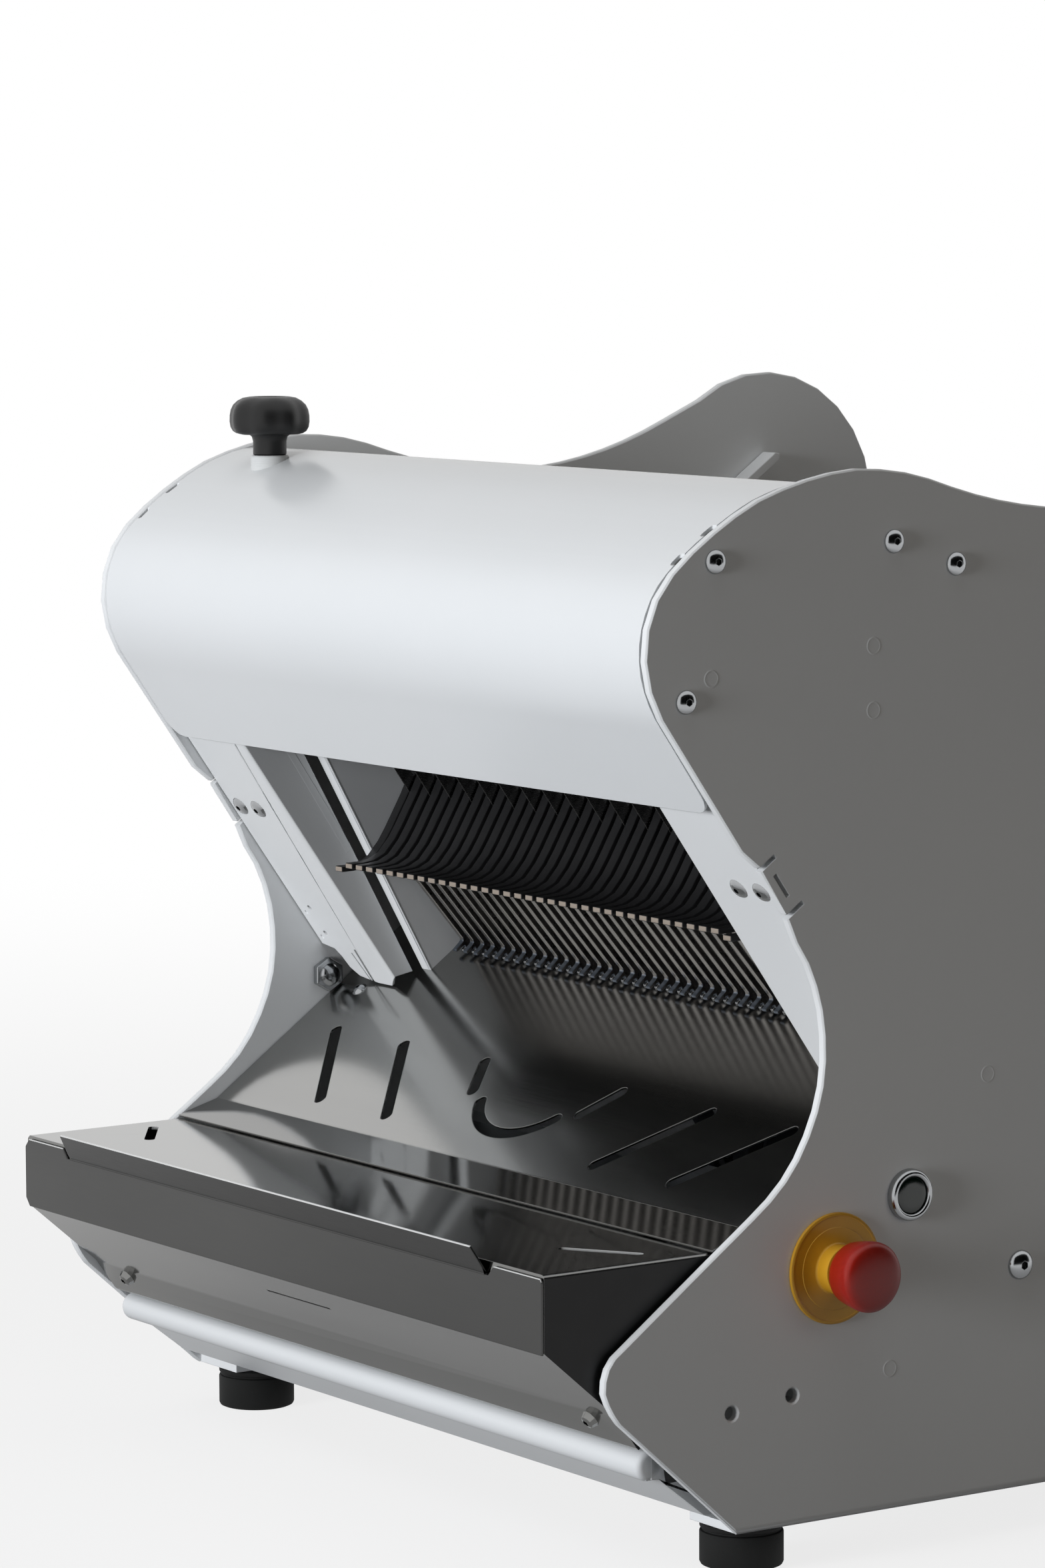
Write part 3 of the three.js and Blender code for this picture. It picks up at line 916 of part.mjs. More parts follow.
const deckRear = COVER_LINE[1][0] - SHEET - SEAT_GAP - THICK_SHEET;
const deckLine = [[deckFront, DECK_Z + DECK_FLANGE], [deckFront, DECK_Z], [deckRear, DECK_Z],
  [deckRear, DECK_Z + DECK_FLANGE]];
place('drive_deck', prism(ribbon(deckLine, -THICK_SHEET), SIDE, -SHEET_END, SHEET_END), 'grey');

// Cross beams between the panels
const upperBeam = tall(UPPER_BEAM_SHARES);
const frontBeam = tall(FRONT_BEAM_SHARES);
const beamEnd = INNER_FACE - SEAT_GAP;
for (const [name, [y, z]] of [['lower', PANEL_BIG_SCREW], ['upper', upperBeam], ['front', frontBeam]]) {
  const outer = rectangle([y - BEAM_HALF, y + BEAM_HALF], [z - BEAM_HALF, z + BEAM_HALF]);
  const inside = BEAM_HALF - BEAM_WALL;
  const hollow = rectangle([y - inside, y + inside], [z - inside, z + inside]);
  place(`cross_beam_${name}`, prism(outer, SIDE, -beamEnd, beamEnd, [hollow]), 'grey');
}

// Rear cover with louvre openings and the loading bed
const cover = prism(ribbon(COVER_LINE, SHEET), SIDE, -SHEET_END, SHEET_END);
const vents = VENT_ZS.map((z) => block(SIDE, [MOTOR_Y, WING_CENTRE[0]], [z, z + VENT_HEIGHT], VENT_X));
place('rear_cover', without(cover, vents), 'powder');

const bedFront = GROOVE_RIBS_S[2][1] + BED_CLEAR;
const bedLine = [[-SHEET_END, BED_WALL_Q], [-BED_HALF, BED_WALL_Q], [-BED_HALF, BED_Q], [BED_HALF, BED_Q],
  [BED_HALF, BED_WALL_Q], [SHEET_END, BED_WALL_Q]];
place('loading_bed', prism(ribbon(bedLine, -SHEET), ACROSS, bedFront, BED_REAR_S), 'steel');

// Controls on the right panel
const outward = [1, 0, 0];
const inward = [-1, 0, 0];
const surface = HALF_WIDTH + SEAT_GAP;
const capRadius = START_BEZEL[0][0] - SEAT_GAP;
const startCap = START_CAP_SHARES.map(([r, h]) => [
  capRadius * r, START_TRAVEL + SEAT_GAP + START_CAP_HEIGHT * h]);
place('stop_plate', turned(STOP_DISC, CONTROL_SIDES, outward, [surface, ...STOP_YZ]), 'yellow');
place('stop_button', turned(STOP_KNOB, CONTROL_SIDES, outward, [surface, ...STOP_YZ]), 'red');
place('start_bezel', turned([...START_BEZEL, START_BEZEL[0]], CONTROL_SIDES, outward,
  [surface, ...START_YZ]), 'bright');
place('start_button', turned(startCap, CONTROL_SIDES, outward, [surface, ...START_YZ]), 'green');

// Knob and its collar on the hood
const collarLow = KNOB_BASE_Z - COLLAR_SINK;
const collarRaw = turned([[0, 0], [COLLAR_RADIUS, 0], [COLLAR_RADIUS, COLLAR_SINK + COLLAR_HEIGHT],
  [0, COLLAR_SINK + COLLAR_HEIGHT]], DISC_SIDES, [0, 0, 1], [KNOB_X, KNOB_Y, collarLow]);
const underHood = prism([...offsetLine(hoodLine.slice(0, -1), SEAT_GAP)], SIDE,
  KNOB_X - KNOB_RADIUS, KNOB_X + KNOB_RADIUS);
place('knob_collar', collarRaw.subtract(underHood), 'white');

const knobLow = KNOB_BASE_Z + COLLAR_HEIGHT + SEAT_GAP;
const headLow = knobLow + KNOB_STEM_HEIGHT;
const lobed = Array.from({ length: KNOB_SIDES }, (_, i) => {
  const turn = i / KNOB_SIDES * Math.PI * 2;
  const radius = KNOB_RADIUS - KNOB_LOBE_DEPTH * (1 - Math.cos(turn * KNOB_LOBES)) / 2;
  return [radius, turn];
});
const knobRings = [];
for (let i = 0; i <= KNOB_ROUND_STEPS; i += 1) {
  const turn = i / KNOB_ROUND_STEPS * Math.PI / 2;
  knobRings.push([KNOB_ROUND * (1 - Math.sin(turn)), KNOB_ROUND * (1 - Math.cos(turn))]);
}
for (let i = KNOB_ROUND_STEPS; i >= 0; i -= 1) {
  const turn = i / KNOB_ROUND_STEPS * Math.PI / 2;
  knobRings.push([KNOB_ROUND * (1 - Math.sin(turn)), KNOB_HEIGHT - KNOB_ROUND * (1 - Math.cos(turn))]);
}
const knobPoints = [];
const knobFaces = [];
for (const [shrink, height] of knobRings) {
  for (const [radius, turn] of lobed) {
    knobPoints.push((radius - shrink) * Math.cos(turn), (radius - shrink) * Math.sin(turn), height);
  }
}
const ringCount = knobRings.length;
for (let r = 0; r < ringCount - 1; r += 1) {
  for (let i = 0; i < KNOB_SIDES; i += 1) {
    const a = r * KNOB_SIDES + i;
    const b = r * KNOB_SIDES + (i + 1) % KNOB_SIDES;
    knobFaces.push(a, b, b + KNOB_SIDES, a, b + KNOB_SIDES, a + KNOB_SIDES);
  }
}
const hubLow = knobPoints.length / 3;
knobPoints.push(0, 0, 0, 0, 0, KNOB_HEIGHT);
for (let i = 0; i < KNOB_SIDES; i += 1) {
  const next = (i + 1) % KNOB_SIDES;
  const top = (ringCount - 1) * KNOB_SIDES;
  knobFaces.push(hubLow, next, i, hubLow + 1, top + i, top + next);
}
const knobHead = new THREE.BufferGeometry();
knobHead.setAttribute('position', new THREE.Float32BufferAttribute(knobPoints, 3));
knobHead.setIndex(knobFaces);
knobHead.translate(KNOB_X, KNOB_Y, headLow);
const knobStem = turned([[0, 0], [KNOB_STEM, 0], [KNOB_STEM, KNOB_STEM_HEIGHT + KNOB_ROUND],
  [0, KNOB_STEM_HEIGHT + KNOB_ROUND]], DISC_SIDES, [0, 0, 1], [KNOB_X, KNOB_Y, knobLow]);
place('knob', solidOf(knobHead).add(knobStem), 'dark');

// Rubber feet
let footNumber = 0;
for (const y of FOOT_YS) {
  for (const [, sign] of SIDES) {
    footNumber += 1;
    place(`foot_${footNumber}`, turned([[0, 0], [FOOT_RADIUS, 0], [FOOT_RADIUS, FOOT_HEIGHT - SEAT_GAP],
      [0, FOOT_HEIGHT - SEAT_GAP]], CONTROL_SIDES, [0, 0, 1], [sign * FOOT_X, y, -FOOT_HEIGHT]), 'rubber');
  }
}

// Screws in both panels and guards
for (const [side, sign] of SIDES) {
  const direction = sign > 0 ? outward : inward;
  PANEL_SCREWS.forEach((yz, i) => place(`panel_screw_${side}_${i + 1}`,
    screw(SCREW_RADIUS, SCREW_HEIGHT, direction, [sign * surface, ...yz]), 'bright'));
  GUARD_SCREWS_X.forEach((x, i) => place(`guard_screw_${side}_${i + 1}`,
    screw(SCREW_RADIUS, SCREW_HEIGHT, [0, -COS, -SIN],
      [sign * x, ...toYZ(GUARD_S - SEAT_GAP, GUARD_SCREWS_Q)]), 'bright'));
  const hexHead = [[0, 0], [HEX_RADIUS, 0], [HEX_RADIUS, HEX_HEIGHT], [0, HEX_HEIGHT]];
  place(`hex_bolt_${side}`, turned(hexHead, HEX_SIDES, sign > 0 ? inward : outward,
    [sign * (INNER_FACE - SEAT_GAP), ...HEX_YZ]), 'iron');
}
place('frame_screw_right', screw(BIG_SCREW_RADIUS, BIG_SCREW_HEIGHT, outward,
  [surface, ...PANEL_BIG_SCREW]), 'bright');

// Cable gland in the rear cover
place('cable_gland', turned(GLAND, GLAND_SIDES, [0, 1, 0],
  [GLAND_XZ[0], COVER_LINE[2][0] + SEAT_GAP, GLAND_XZ[1]]), 'dark');

// The origin is the middle of the standing base
const extent = new THREE.Box3().setFromObject(group);
const middleOfBase = extent.getCenter(new THREE.Vector3());
group.position.set(-middleOfBase.x, -middleOfBase.y, -extent.min.z);

export default group;
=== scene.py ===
"""Pieces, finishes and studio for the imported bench-top bread slicer, in the frame's coordinates.

Named sizes are in millimetres, and MM turns them into the frame's metres."""

import math

import bmesh
import bpy
from mathutils import Matrix, Vector


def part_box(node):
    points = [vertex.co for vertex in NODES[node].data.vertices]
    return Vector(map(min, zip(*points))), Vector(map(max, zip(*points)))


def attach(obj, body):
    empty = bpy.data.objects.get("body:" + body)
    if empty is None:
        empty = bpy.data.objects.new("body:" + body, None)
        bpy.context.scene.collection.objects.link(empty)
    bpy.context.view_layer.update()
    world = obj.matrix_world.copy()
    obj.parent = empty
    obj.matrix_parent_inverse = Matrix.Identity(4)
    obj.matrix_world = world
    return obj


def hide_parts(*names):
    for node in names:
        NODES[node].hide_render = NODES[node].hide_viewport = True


bl_info = {
    "name": "Bench bread slicer",
    "version": (1, 0, 0),
    "blender": (4, 5, 0),
    "location": "3D View > Sidebar > Slicer",
    "description": "Models and finishes the visible pieces of a bench-top bread slicer",
    "category": "Object",
}

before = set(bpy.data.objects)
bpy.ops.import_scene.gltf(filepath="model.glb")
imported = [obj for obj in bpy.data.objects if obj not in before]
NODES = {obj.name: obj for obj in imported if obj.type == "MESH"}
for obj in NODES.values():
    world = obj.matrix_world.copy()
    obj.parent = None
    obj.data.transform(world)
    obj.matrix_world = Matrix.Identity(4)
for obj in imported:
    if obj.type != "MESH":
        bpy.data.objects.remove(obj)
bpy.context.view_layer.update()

MM = 0.001
SIDES = (("right", 1), ("left", -1))
QUARTER = math.radians(90)
DOUBLES = 0.01 * MM
FLAT = math.radians(0.3)
ANY_WAY = -2

# The panels' own coordinates: X from the middle, Y from their front corner, Z from their lower edge
PANEL_LOW, PANEL_HIGH = (Vector(corner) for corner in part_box("side_panel_right"))
FAR_LOW = Vector(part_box("side_panel_left")[0])
FOOT_LOW, FOOT_HIGH = (Vector(corner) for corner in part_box("foot_1"))
FOOT_Y = 26
ORIGIN = Vector((
    (PANEL_HIGH.x + FAR_LOW.x) / 2, (FOOT_LOW.y + FOOT_HIGH.y) / 2 - FOOT_Y * MM, PANEL_LOW.z))
HOME = Matrix.Translation(ORIGIN)

# The bread path: s runs up and back, q square to it
SLOPE = math.radians(35.46)
ALONG = Vector((0, math.cos(SLOPE), math.sin(SLOPE)))
ABOVE = Vector((0, -math.sin(SLOPE), math.cos(SLOPE)))

SHEET = 2
PITCH = 12
FINGERS = 36
FIRST_X = -PITCH * (FINGERS - 1) / 2

# Side panels: outer face, the filled lip in front, the block cut off the outer lower edge and the
# round core that it leaves, by radius, length and middle, and the faint marks of welded studs
PANEL_OUTER = 300
LIP = ((250, 0.8, 0), (296, 60, 5))
LOWER_CUT = ((295, -60, -2), (302, 600, 5))
LOWER_CORE = (5, 700, (295, 270, 5))
STUD_MARKS = ((95, 505), (95, 468), (-20, 492), (180, 250), (307, 300), (108, 84))
STUD_MARK = ((5.2, 0), (5, 0.14), (4.3, 0.16), (4.1, 0.02), (0.3, 0.02))

# Hood: side line of the outer face, from its lower edge over the front to the rear lip
HOOD_LINE = (
    (-13, 415.5), (-41.9, 456.9), (-47.1, 464.1), (-52.1, 471.3), (-56.3, 478.9), (-59.6, 486.9),
    (-61.9, 495.1), (-62.9, 503.6), (-62.8, 512.2), (-61.4, 520.7), (-58.8, 528.9), (-55.2, 536.7),
    (-50.5, 543.8), (-44.7, 550.1), (-38.2, 555.9), (-31.3, 561.4), (-24.2, 566.6), (-16.8, 571.5),
    (-9.3, 576.2), (-1.7, 580.7), (6.1, 584.9), (14, 588.6), (22.2, 591.6), (30.6, 594.3),
    (39.1, 596.3), (47.7, 597.3), (56.4, 596.8), (65.1, 594.7), (76, 591.8), (88, 588.7),
    (100, 585.6), (116, 581.4), (133, 577), (150, 572.7), (166, 568.8), (183, 564.7), (200, 560.8),
    (213, 557.8), (226.5, 554.6), (239.8, 551.5), (239.8, 546))
HOOD_HALF = 293.1
HOOD_CORNER = 13
HOOD_NOTCHES = ((-16.1, 576.2), (-38.3, 561))
NOTCH_HALF = (4, 5)

# Pusher: hollow front line of the fingers from the tip to the top, how far the bright tip reaches,
# how much lower the two end fingers sit, and the bar and plate behind them, across and on the slope
FINGER_LINE = (
    (57.2, 331.2), (66, 331.4), (75, 332.6), (84, 337), (92.5, 346.6), (98.2, 355.3),
    (103.5, 364.4), (109.8, 375.2), (115.2, 385.8), (117.4, 391), (118, 396), (118.2, 410),
    (118.2, 440))
FINGER_WIDTH = 8
FINGER_THICK = 3.6
TIP_Y = 58
END_DROP = 3
PUSHER_BAR = ((-214, 350, 282), (214, 366, 300))
PUSHER_PLATE = ((-214, 354, 147), (214, 357, 284))

# Outfeed comb: the strips' side line on the slope, their width, the top of the nose, the pin in
# front of it and the bar behind
STRIP_LINE = (
    (279.4, 213.8), (275.6, 213.8), (281.9, 141.4), (281.2, 139.9), (279.6, 139.4), (273.7, 138.8),
    (273.1, 138.2), (273.2, 137), (274, 136.6), (279.6, 136.9), (280.4, 136.2), (280.4, 132.6),
    (285.8, 132.6), (285.8, 141))
STRIP_WIDTH = 4
STRIP_NOSE_Q = 140.8
STRIP_PIN_AT = (280.6, 134)
STRIP_PIN = ((1.3, 0), (1.3, 2.2), (0.95, 2.8), (0.4, 3.1), (0.1, 3.1))
COMB_BAR = ((-214, 285.9, 132.6), (214, 295.8, 142.8))

# Chute: height over the slope, its two ends, the flatter strip in front and two small screws, as
# place across and along, radius and height
CHUTE_Q = 132.2
CHUTE_S = (112.6, 299.2)
CHUTE_FOOT = ((-14.8, 164.6), (15.2, 173))
CHUTE_THICK = 1.3
CHUTE_SCREW_AT = (266, 228)
CHUTE_SCREW = (5.5, 4)

# Slots by the middle of each end, across and along the slope, and the curved slot by its centre,
# radius and half turn
SLOT_WIDTH = 9
SLOTS = (
    ((246.2, 189.7), (192, 132.5)), ((165.9, 190), (113.7, 131.9)),
    ((73.9, 190.7), (58, 166.8)))
CURVED_SLOT = (189, 50.5, 54)
CUTTER_DEPTH = 12

# Crumb tray: side line of the floor, then of its end plates, and the round grip edge
TRAY_HALF = 288
TRAY_LINE = ((212, 34), (212, 12), (-17, 12), (-49, 37), (-57, 37.1))
TRAY_ENDS = (
    (212, 34), (212, 12), (210, 12), (210, 5.4), (6, 5.4), (6, 12), (-17, 12), (-49, 37),
    (-54, 37.4), (-54, 53.4), (-47.4, 51), (-45.8, 47), (-43.5, 34))
ROLL_CENTRE = (-54.6, 45.4)
ROLL_RADIUS = 8.9
ROLL_ROUNDING = 3.6

# Channel wall: its outline on the slope, seen square from the side, and its turned front flange
WALL_LINE = (
    (256.3, 132.6), (289, 132.6), (300, 150), (336, 168), (336, 384), (303, 384), (300, 395.8),
    (286.4, 395.8))
WALL_X = (215.6, 217.6)
WALL_FLANGE = 10.6

# Receiving shelf: top level, the splayed slots by the middle of each end, the imported square holes
# by middle and half width, the reach across, back and up of the slot walls that take a painted
# highlight, the rounded front corners, and the level above which the front plate's edge takes a
# painted highlight
SHELF_TOP = 164
SHELF_SLOTS = ((230.8, -74.1), (268.2, -48.9))
SHELF_SLOT_WIDTH = 6.8
SHELF_HOLE = (250, -62, 4.7)
SLOT_WALL_HIGHLIGHT = (275, 22, 1.2)
SHELF_CORNER_Y = -41
SHELF_CORNER = 2.4
FACE_HIGHLIGHT_Z = 160.5

# Shelf's sloping underside: line of its outer face, the slit across, and what of it is filled
UNDER_LINE = ((-129, 119.5), (-80, 77.5))
UNDER_SLIT_X = (-36.2, 35.2)
UNDER_FILLS = ((24.4, 27.4), (29.3, 32.3))

# Guard: front face along the slope, its bend across, the upper part of its return, and at its foot
# a short relief slit and two small dimples, as places across and square to the slope
GUARD_FACE_S = 235.4
GUARD_BEND_X = 226.5
GUARD_BEND = 5
GUARD_RETURN = ((256, 232), (261, 232), (278.5, 400), (262, 400))
RETURN_INSET = 0.1
GUARD_SLIT = ((261.1, 158.6), (257.9, 129))
GUARD_SLIT_WIDTH = 1.5
GUARD_DIMPLES = ((287, 191), (287, 170))
DIMPLE = (1.5, 1.6)

# Round pieces as radius and height
STOP_PLATE = (
    (32, 0), (32.5, 0.4), (32.5, 1.3), (32.1, 1.9), (31.2, 2.2), (30.6, 2.2), (30.3, 1.9),
    (24.2, 1.9), (23.9, 2.2), (15.6, 2.2), (14.9, 2.5), (14.4, 3.2), (14.4, 11.2), (14.1, 11.9),
    (13.4, 12.2), (11.4, 12.2), (11, 11.8), (11, 3.2), (0.5, 3.2))
STOP_HEAD = (
    (10.4, 7.8), (10.6, 8), (10.6, 16.5), (11.6, 16.7), (15.6, 17), (17.2, 17.6), (18.1, 18.9),
    (18.7, 21.6), (19.4, 25.4), (20, 29), (20.4, 32), (20.5, 34.2), (20.2, 36), (19.3, 37.4),
    (17.4, 38.4), (14.4, 39.1), (10.4, 39.6), (5.6, 39.9), (0.5, 40))
START_BEZEL = (
    (11, 0), (15, 0), (15.2, 0.3), (15.2, 3.1), (14.9, 4), (14.3, 4.9), (13.5, 5.4), (12.6, 5.6),
    (11.7, 5.3), (11.2, 4.8), (11, 4.2))
START_CAP = (
    (10.2, 1.8), (10.7, 2.2), (10.7, 3.5), (10.3, 4), (9.2, 4.3), (6, 4.35), (0.5, 4.4))
FOOT = (
    (22.4, 0), (23.8, 0.6), (24.5, 2), (24.5, 19.4), (24.1, 20.2), (23, 20.6), (23, 21.8),
    (24.1, 22.2), (24.4, 22.8), (24.4, 24.8), (23.6, 25.7), (0.5, 25.7))
COLLAR = ((12.2, 0), (12.2, 12.6), (11.9, 13.4), (11.2, 13.9), (0.5, 13.9))
KNOB_STEM = (
    (10.2, 0), (10.7, 0.4), (10.7, 8.6), (11.4, 11.4), (13.4, 13.2), (13.4, 15), (0.5, 15))
KNOB_HEAD = (
    (18.5, 0), (21.6, 0.6), (23.9, 2), (25.4, 4.6), (26, 8), (25.9, 12), (25.2, 15.6), (23.6, 18.8),
    (20.8, 21.4), (17, 23.2), (13, 23.9), (11.2, 23.9), (10.2, 23.3), (0.5, 23))
HEAD_RISE = 13
FLUTES = 8
FLUTE_DEPTH = 1.7
FLUTED_FROM = 18

# Screws: radius and height of the two sizes of button head, its rim as a share of the height and
# its socket as a share of the radius
SMALL_HEAD = (7, 3.7)
LARGE_HEAD = (8.8, 4.7)
RIM = 0.08
SOCKET = 0.3

# Hexagon bolt: radius over the corners, height, and the domed end
HEXAGON = (11.6, 5.2)
DOME = ((7.4, 4.9), (7.2, 5.9), (6, 7), (3.9, 7.7), (1.6, 7.9), (0.3, 7.9))

# Camera: place in the panels' coordinates; turn to the right, height and roll in degrees
CAMERA_AT = (2841.8, -1890.2, 765.4)
CAMERA_TURN = (55.58, 6.01, -0.25)

# Lamps: place, aim, size in metres, power in watts and colour
LAMPS = {
    "front_lamp": ((0.25, -3.9, 0.6), (0, 0, 0.3), 1.9, 150, "#FAFCFF"),
    "side_lamp": ((3.2, 0.9, 1.2), (0, 0, 0.3), 1.6, 6, "#FFF3E4"),
    "top_lamp": ((-0.3, -1.0, 3.6), (0, 0.1, 0.4), 3.6, 33, "#FFFFFF"),
}
CURTAIN_AT = (2.5, 1.6, 1.25)
CURTAIN_SIZE = (2.5, 6.4, 1)


def linear(code):
    """An sRGB hex colour as the linear values that shaders take."""
    parts = [int(code[i:i + 2], 16) / 255 for i in (1, 3, 5)]
    return tuple(c / 12.92 if c <= 0.04045 else ((c + 0.055) / 1.055) ** 2.4 for c in parts)


def at(x, y, z):
    """A point of the panels' coordinates, in the frame's metres."""
    return ORIGIN + Vector((x, y, z)) * MM


def on_bed(x, s, q):
    """A point across, along and above the bread path, in the frame's metres."""
    return ORIGIN + (Vector((x, 0, 0)) + ALONG * s + ABOVE * q) * MM


def bed_place(point):
    """How far along and above the bread path a point lies, in millimetres."""
    offset = (point - ORIGIN) / MM
    return offset.dot(ALONG), offset.dot(ABOVE)


def beside(point, x, slack):
    """Whether a point lies at a distance across from the machine's middle, on either side."""
    return abs(abs(point.x - ORIGIN.x) - x * MM) < slack * MM


def span(sign, near, far):
    """Two places across, on one side of the machine, the lower one first."""
    return sorted((sign * near, sign * far))


def middle_of(node):
    """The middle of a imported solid's box."""
    low, high = (Vector(corner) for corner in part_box(node))
    return (low + high) / 2


def base_of(node):
    """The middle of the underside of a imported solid's box."""
    place = middle_of(node)
    place.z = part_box(node)[0][2]
    return place


def facing(direction, place):
    """The matrix that stands a piece made along +Z at a place, its top towards a direction."""
    turn = Vector(direction).to_track_quat("Z", "Y").to_matrix().to_4x4()
    return Matrix.Translation(place) @ turn


def bed_matrix(place):
    """The matrix that lays a piece made flat on the slope of the bread path."""
    turn = Matrix((Vector((1, 0, 0)), ALONG, ABOVE)).transposed().to_4x4()
    return Matrix.Translation(place) @ turn


BED = bed_matrix(ORIGIN)


# Modelling steps

def clear():
    """Leaves edit mode and selects nothing."""
    if bpy.context.object and bpy.context.object.mode != "OBJECT":
        bpy.ops.object.mode_set(mode="OBJECT")
    bpy.ops.object.select_all(action="DESELECT")


def choose(obj):
    """Selects one object and makes it active."""
    clear()
    obj.select_set(True)
    bpy.context.view_layer.objects.active = obj


def edit(obj, kind="FACE"):
    """Opens an object in edit mode with nothing selected."""
    choose(obj)
    bpy.ops.object.mode_set(mode="EDIT")
    bpy.ops.mesh.select_mode(type=kind)
    bpy.ops.mesh.select_all(action="DESELECT")


def pick(test, kind):
    """In edit mode, selects the edges or vertices whose middle passes the test."""
    mesh = bpy.context.object.data
    bpy.ops.mesh.select_mode(type=kind)
    bpy.ops.mesh.select_all(action="DESELECT")
    shape = bmesh.from_edit_mesh(mesh)
    for item in shape.edges if kind == "EDGE" else shape.verts:
        corners = [item.co] if kind == "VERT" else [v.co for v in item.verts]
        item.select_set(bool(test(sum(corners, Vector()) / len(corners))))
    shape.select_flush_mode()
    bmesh.update_edit_mesh(mesh)
    if not any(vertex.select for vertex in shape.verts):
        raise RuntimeError("Nothing passes the test")


def use(obj, kind, **settings):
    """Adds one modifier with its settings and applies it."""
    choose(obj)
    modifier = obj.modifiers.new(kind.title(), kind)
    for key, value in settings.items():
        setattr(modifier, key, value)
    bpy.ops.object.modifier_apply(modifier=modifier.name)


def settle(obj, matrix=None):
    """Puts the object's place into its mesh."""
    choose(obj)
    if matrix is not None:
        obj.matrix_world = matrix @ obj.matrix_world
    bpy.ops.object.transform_apply(location=True, rotation=True, scale=True)
    return obj


def close(obj):
    """Merges doubles and turns the faces outwards."""
    edit(obj)
    bpy.ops.mesh.select_all(action="SELECT")
    bpy.ops.mesh.remove_doubles(threshold=DOUBLES)
    bpy.ops.mesh.normals_make_consistent(inside=False)
    bpy.ops.object.mode_set(mode="OBJECT")
    return obj


def merge_flats(obj, threshold=DOUBLES):
    """Merges doubles and makes each flat one face."""
    edit(obj)
    bpy.ops.mesh.select_all(action="SELECT")
    bpy.ops.mesh.remove_doubles(threshold=threshold)
    bpy.ops.mesh.dissolve_limited(angle_limit=FLAT)
    clear()
    return obj


def bevel(obj, test, width, segments):
    """Rounds the edges whose middle passes the test."""
    edit(obj, "EDGE")
    pick(test, "EDGE")
    bpy.ops.mesh.bevel(offset=width * MM, segments=segments, affect="EDGES")
    clear()


def soften(obj, width, segments=2, angle=30):
    """Rounds the edges sharper than an angle, shades curves smooth and keeps flats flat."""
    if width:
        use(obj, "BEVEL", width=width * MM, segments=segments, limit_method="ANGLE",
            angle_limit=math.radians(angle), use_clamp_overlap=True)
    choose(obj)
    bpy.ops.object.shade_smooth_by_angle(angle=math.radians(angle + 5))
    if width:
        use(obj, "WEIGHTED_NORMAL", keep_sharp=True, weight=100)
    return obj


def turned(name, profile, sides=48, ring=False):
    """A round piece along +Z: a circle is drawn out and resized ring by ring."""
    clear()
    radius, height = profile[0]
    bpy.ops.mesh.primitive_circle_add(
        vertices=sides, radius=radius * MM, location=(0, 0, height * MM),
        fill_type="NOTHING" if ring else "NGON")
    obj = bpy.context.object
    obj.name = name
    bpy.ops.object.mode_set(mode="EDIT")
    bpy.ops.mesh.select_all(action="SELECT")
    extrude = bpy.ops.mesh.extrude_edges_move if ring else bpy.ops.mesh.extrude_region_move
    for next_radius, next_height in list(profile[1:]) + ([profile[0]] if ring else []):
        extrude(TRANSFORM_OT_translate={"value": (0, 0, (next_height - height) * MM)})
        share = next_radius / radius
        bpy.ops.transform.resize(
            value=(share, share, 1), center_override=(0, 0, next_height * MM))
        radius, height = next_radius, next_height
    settle(obj)
    close(obj)
    return soften(obj, 0)


def folded(name, line, half, thickness):
    """Sheet metal: a strip is drawn out fold by fold along its side line, then thickened."""
    clear()
    first, second = (at(0, *point) for point in line[:2])
    run = second - first
    bpy.ops.mesh.primitive_plane_add(
        size=1, location=(first + second) / 2, rotation=(math.atan2(run.z, run.y), 0, 0))
    obj = bpy.context.object
    obj.name = name
    obj.scale = (half * 2 * MM, run.length, 1)
    settle(obj)
    edit(obj, "EDGE")
    pick(lambda middle: (middle - second).length < 0.05 * MM, "EDGE")
    last = second
    for point in line[2:]:
        here = at(0, *point)
        bpy.ops.mesh.extrude_edges_move(TRANSFORM_OT_translate={"value": here - last})
        last = here
    settle(obj)
    close(obj)
    use(obj, "SOLIDIFY", thickness=thickness * MM, offset=1, use_even_offset=True)
    return obj


def block(name, low, high, matrix=HOME, width=0.4):
    """A bar or plate with rounded edges between two corners."""
    clear()
    bpy.ops.mesh.primitive_cube_add(size=1)
    obj = bpy.context.object
    obj.name = name
    obj.scale = [(b - a) * MM for a, b in zip(low, high)]
    obj.location = [(a + b) / 2 * MM for a, b in zip(low, high)]
    settle(obj)
    settle(obj, matrix)
    return soften(obj, width)


def side_block(name, sign, low, high, width=0):
    """A block between two corners given for the right side, on one side of the machine."""
    near, far = span(sign, low[0], high[0])
    return block(name, (near, *low[1:]), (far, *high[1:]), width=width)


def rod(sides, radius, length, place=(0, 0, 0), turn=(0, 0, 0), matrix=None):
    """A plain bar with a round or many-sided section, its middle at a place in metres."""
    clear()
    bpy.ops.mesh.primitive_cylinder_add(
        vertices=sides, radius=radius * MM, depth=length * MM, location=place, rotation=turn)
    return settle(bpy.context.object, matrix)


def plate(name, outline, low, high, matrix=HOME, width=0.4):
    """A flat plate with rounded edges: its outline on Y and Z, drawn out along X."""
    clear()
    bpy.ops.mesh.primitive_circle_add(vertices=len(outline), radius=1, fill_type="NGON")
    obj = bpy.context.object
    obj.name = name
    edit(obj, "VERT")
    shape = bmesh.from_edit_mesh(obj.data)
    shape.verts.ensure_lookup_table()
    for vertex, (y, z) in zip(shape.verts, outline):
        vertex.co = Vector((low, y, z)) * MM
    bmesh.update_edit_mesh(obj.data)
    bpy.ops.mesh.select_all(action="SELECT")
    bpy.ops.mesh.extrude_region_move(
        TRANSFORM_OT_translate={"value": ((high - low) * MM, 0, 0)})
    close(obj)
    settle(obj, matrix)
    return soften(obj, width)


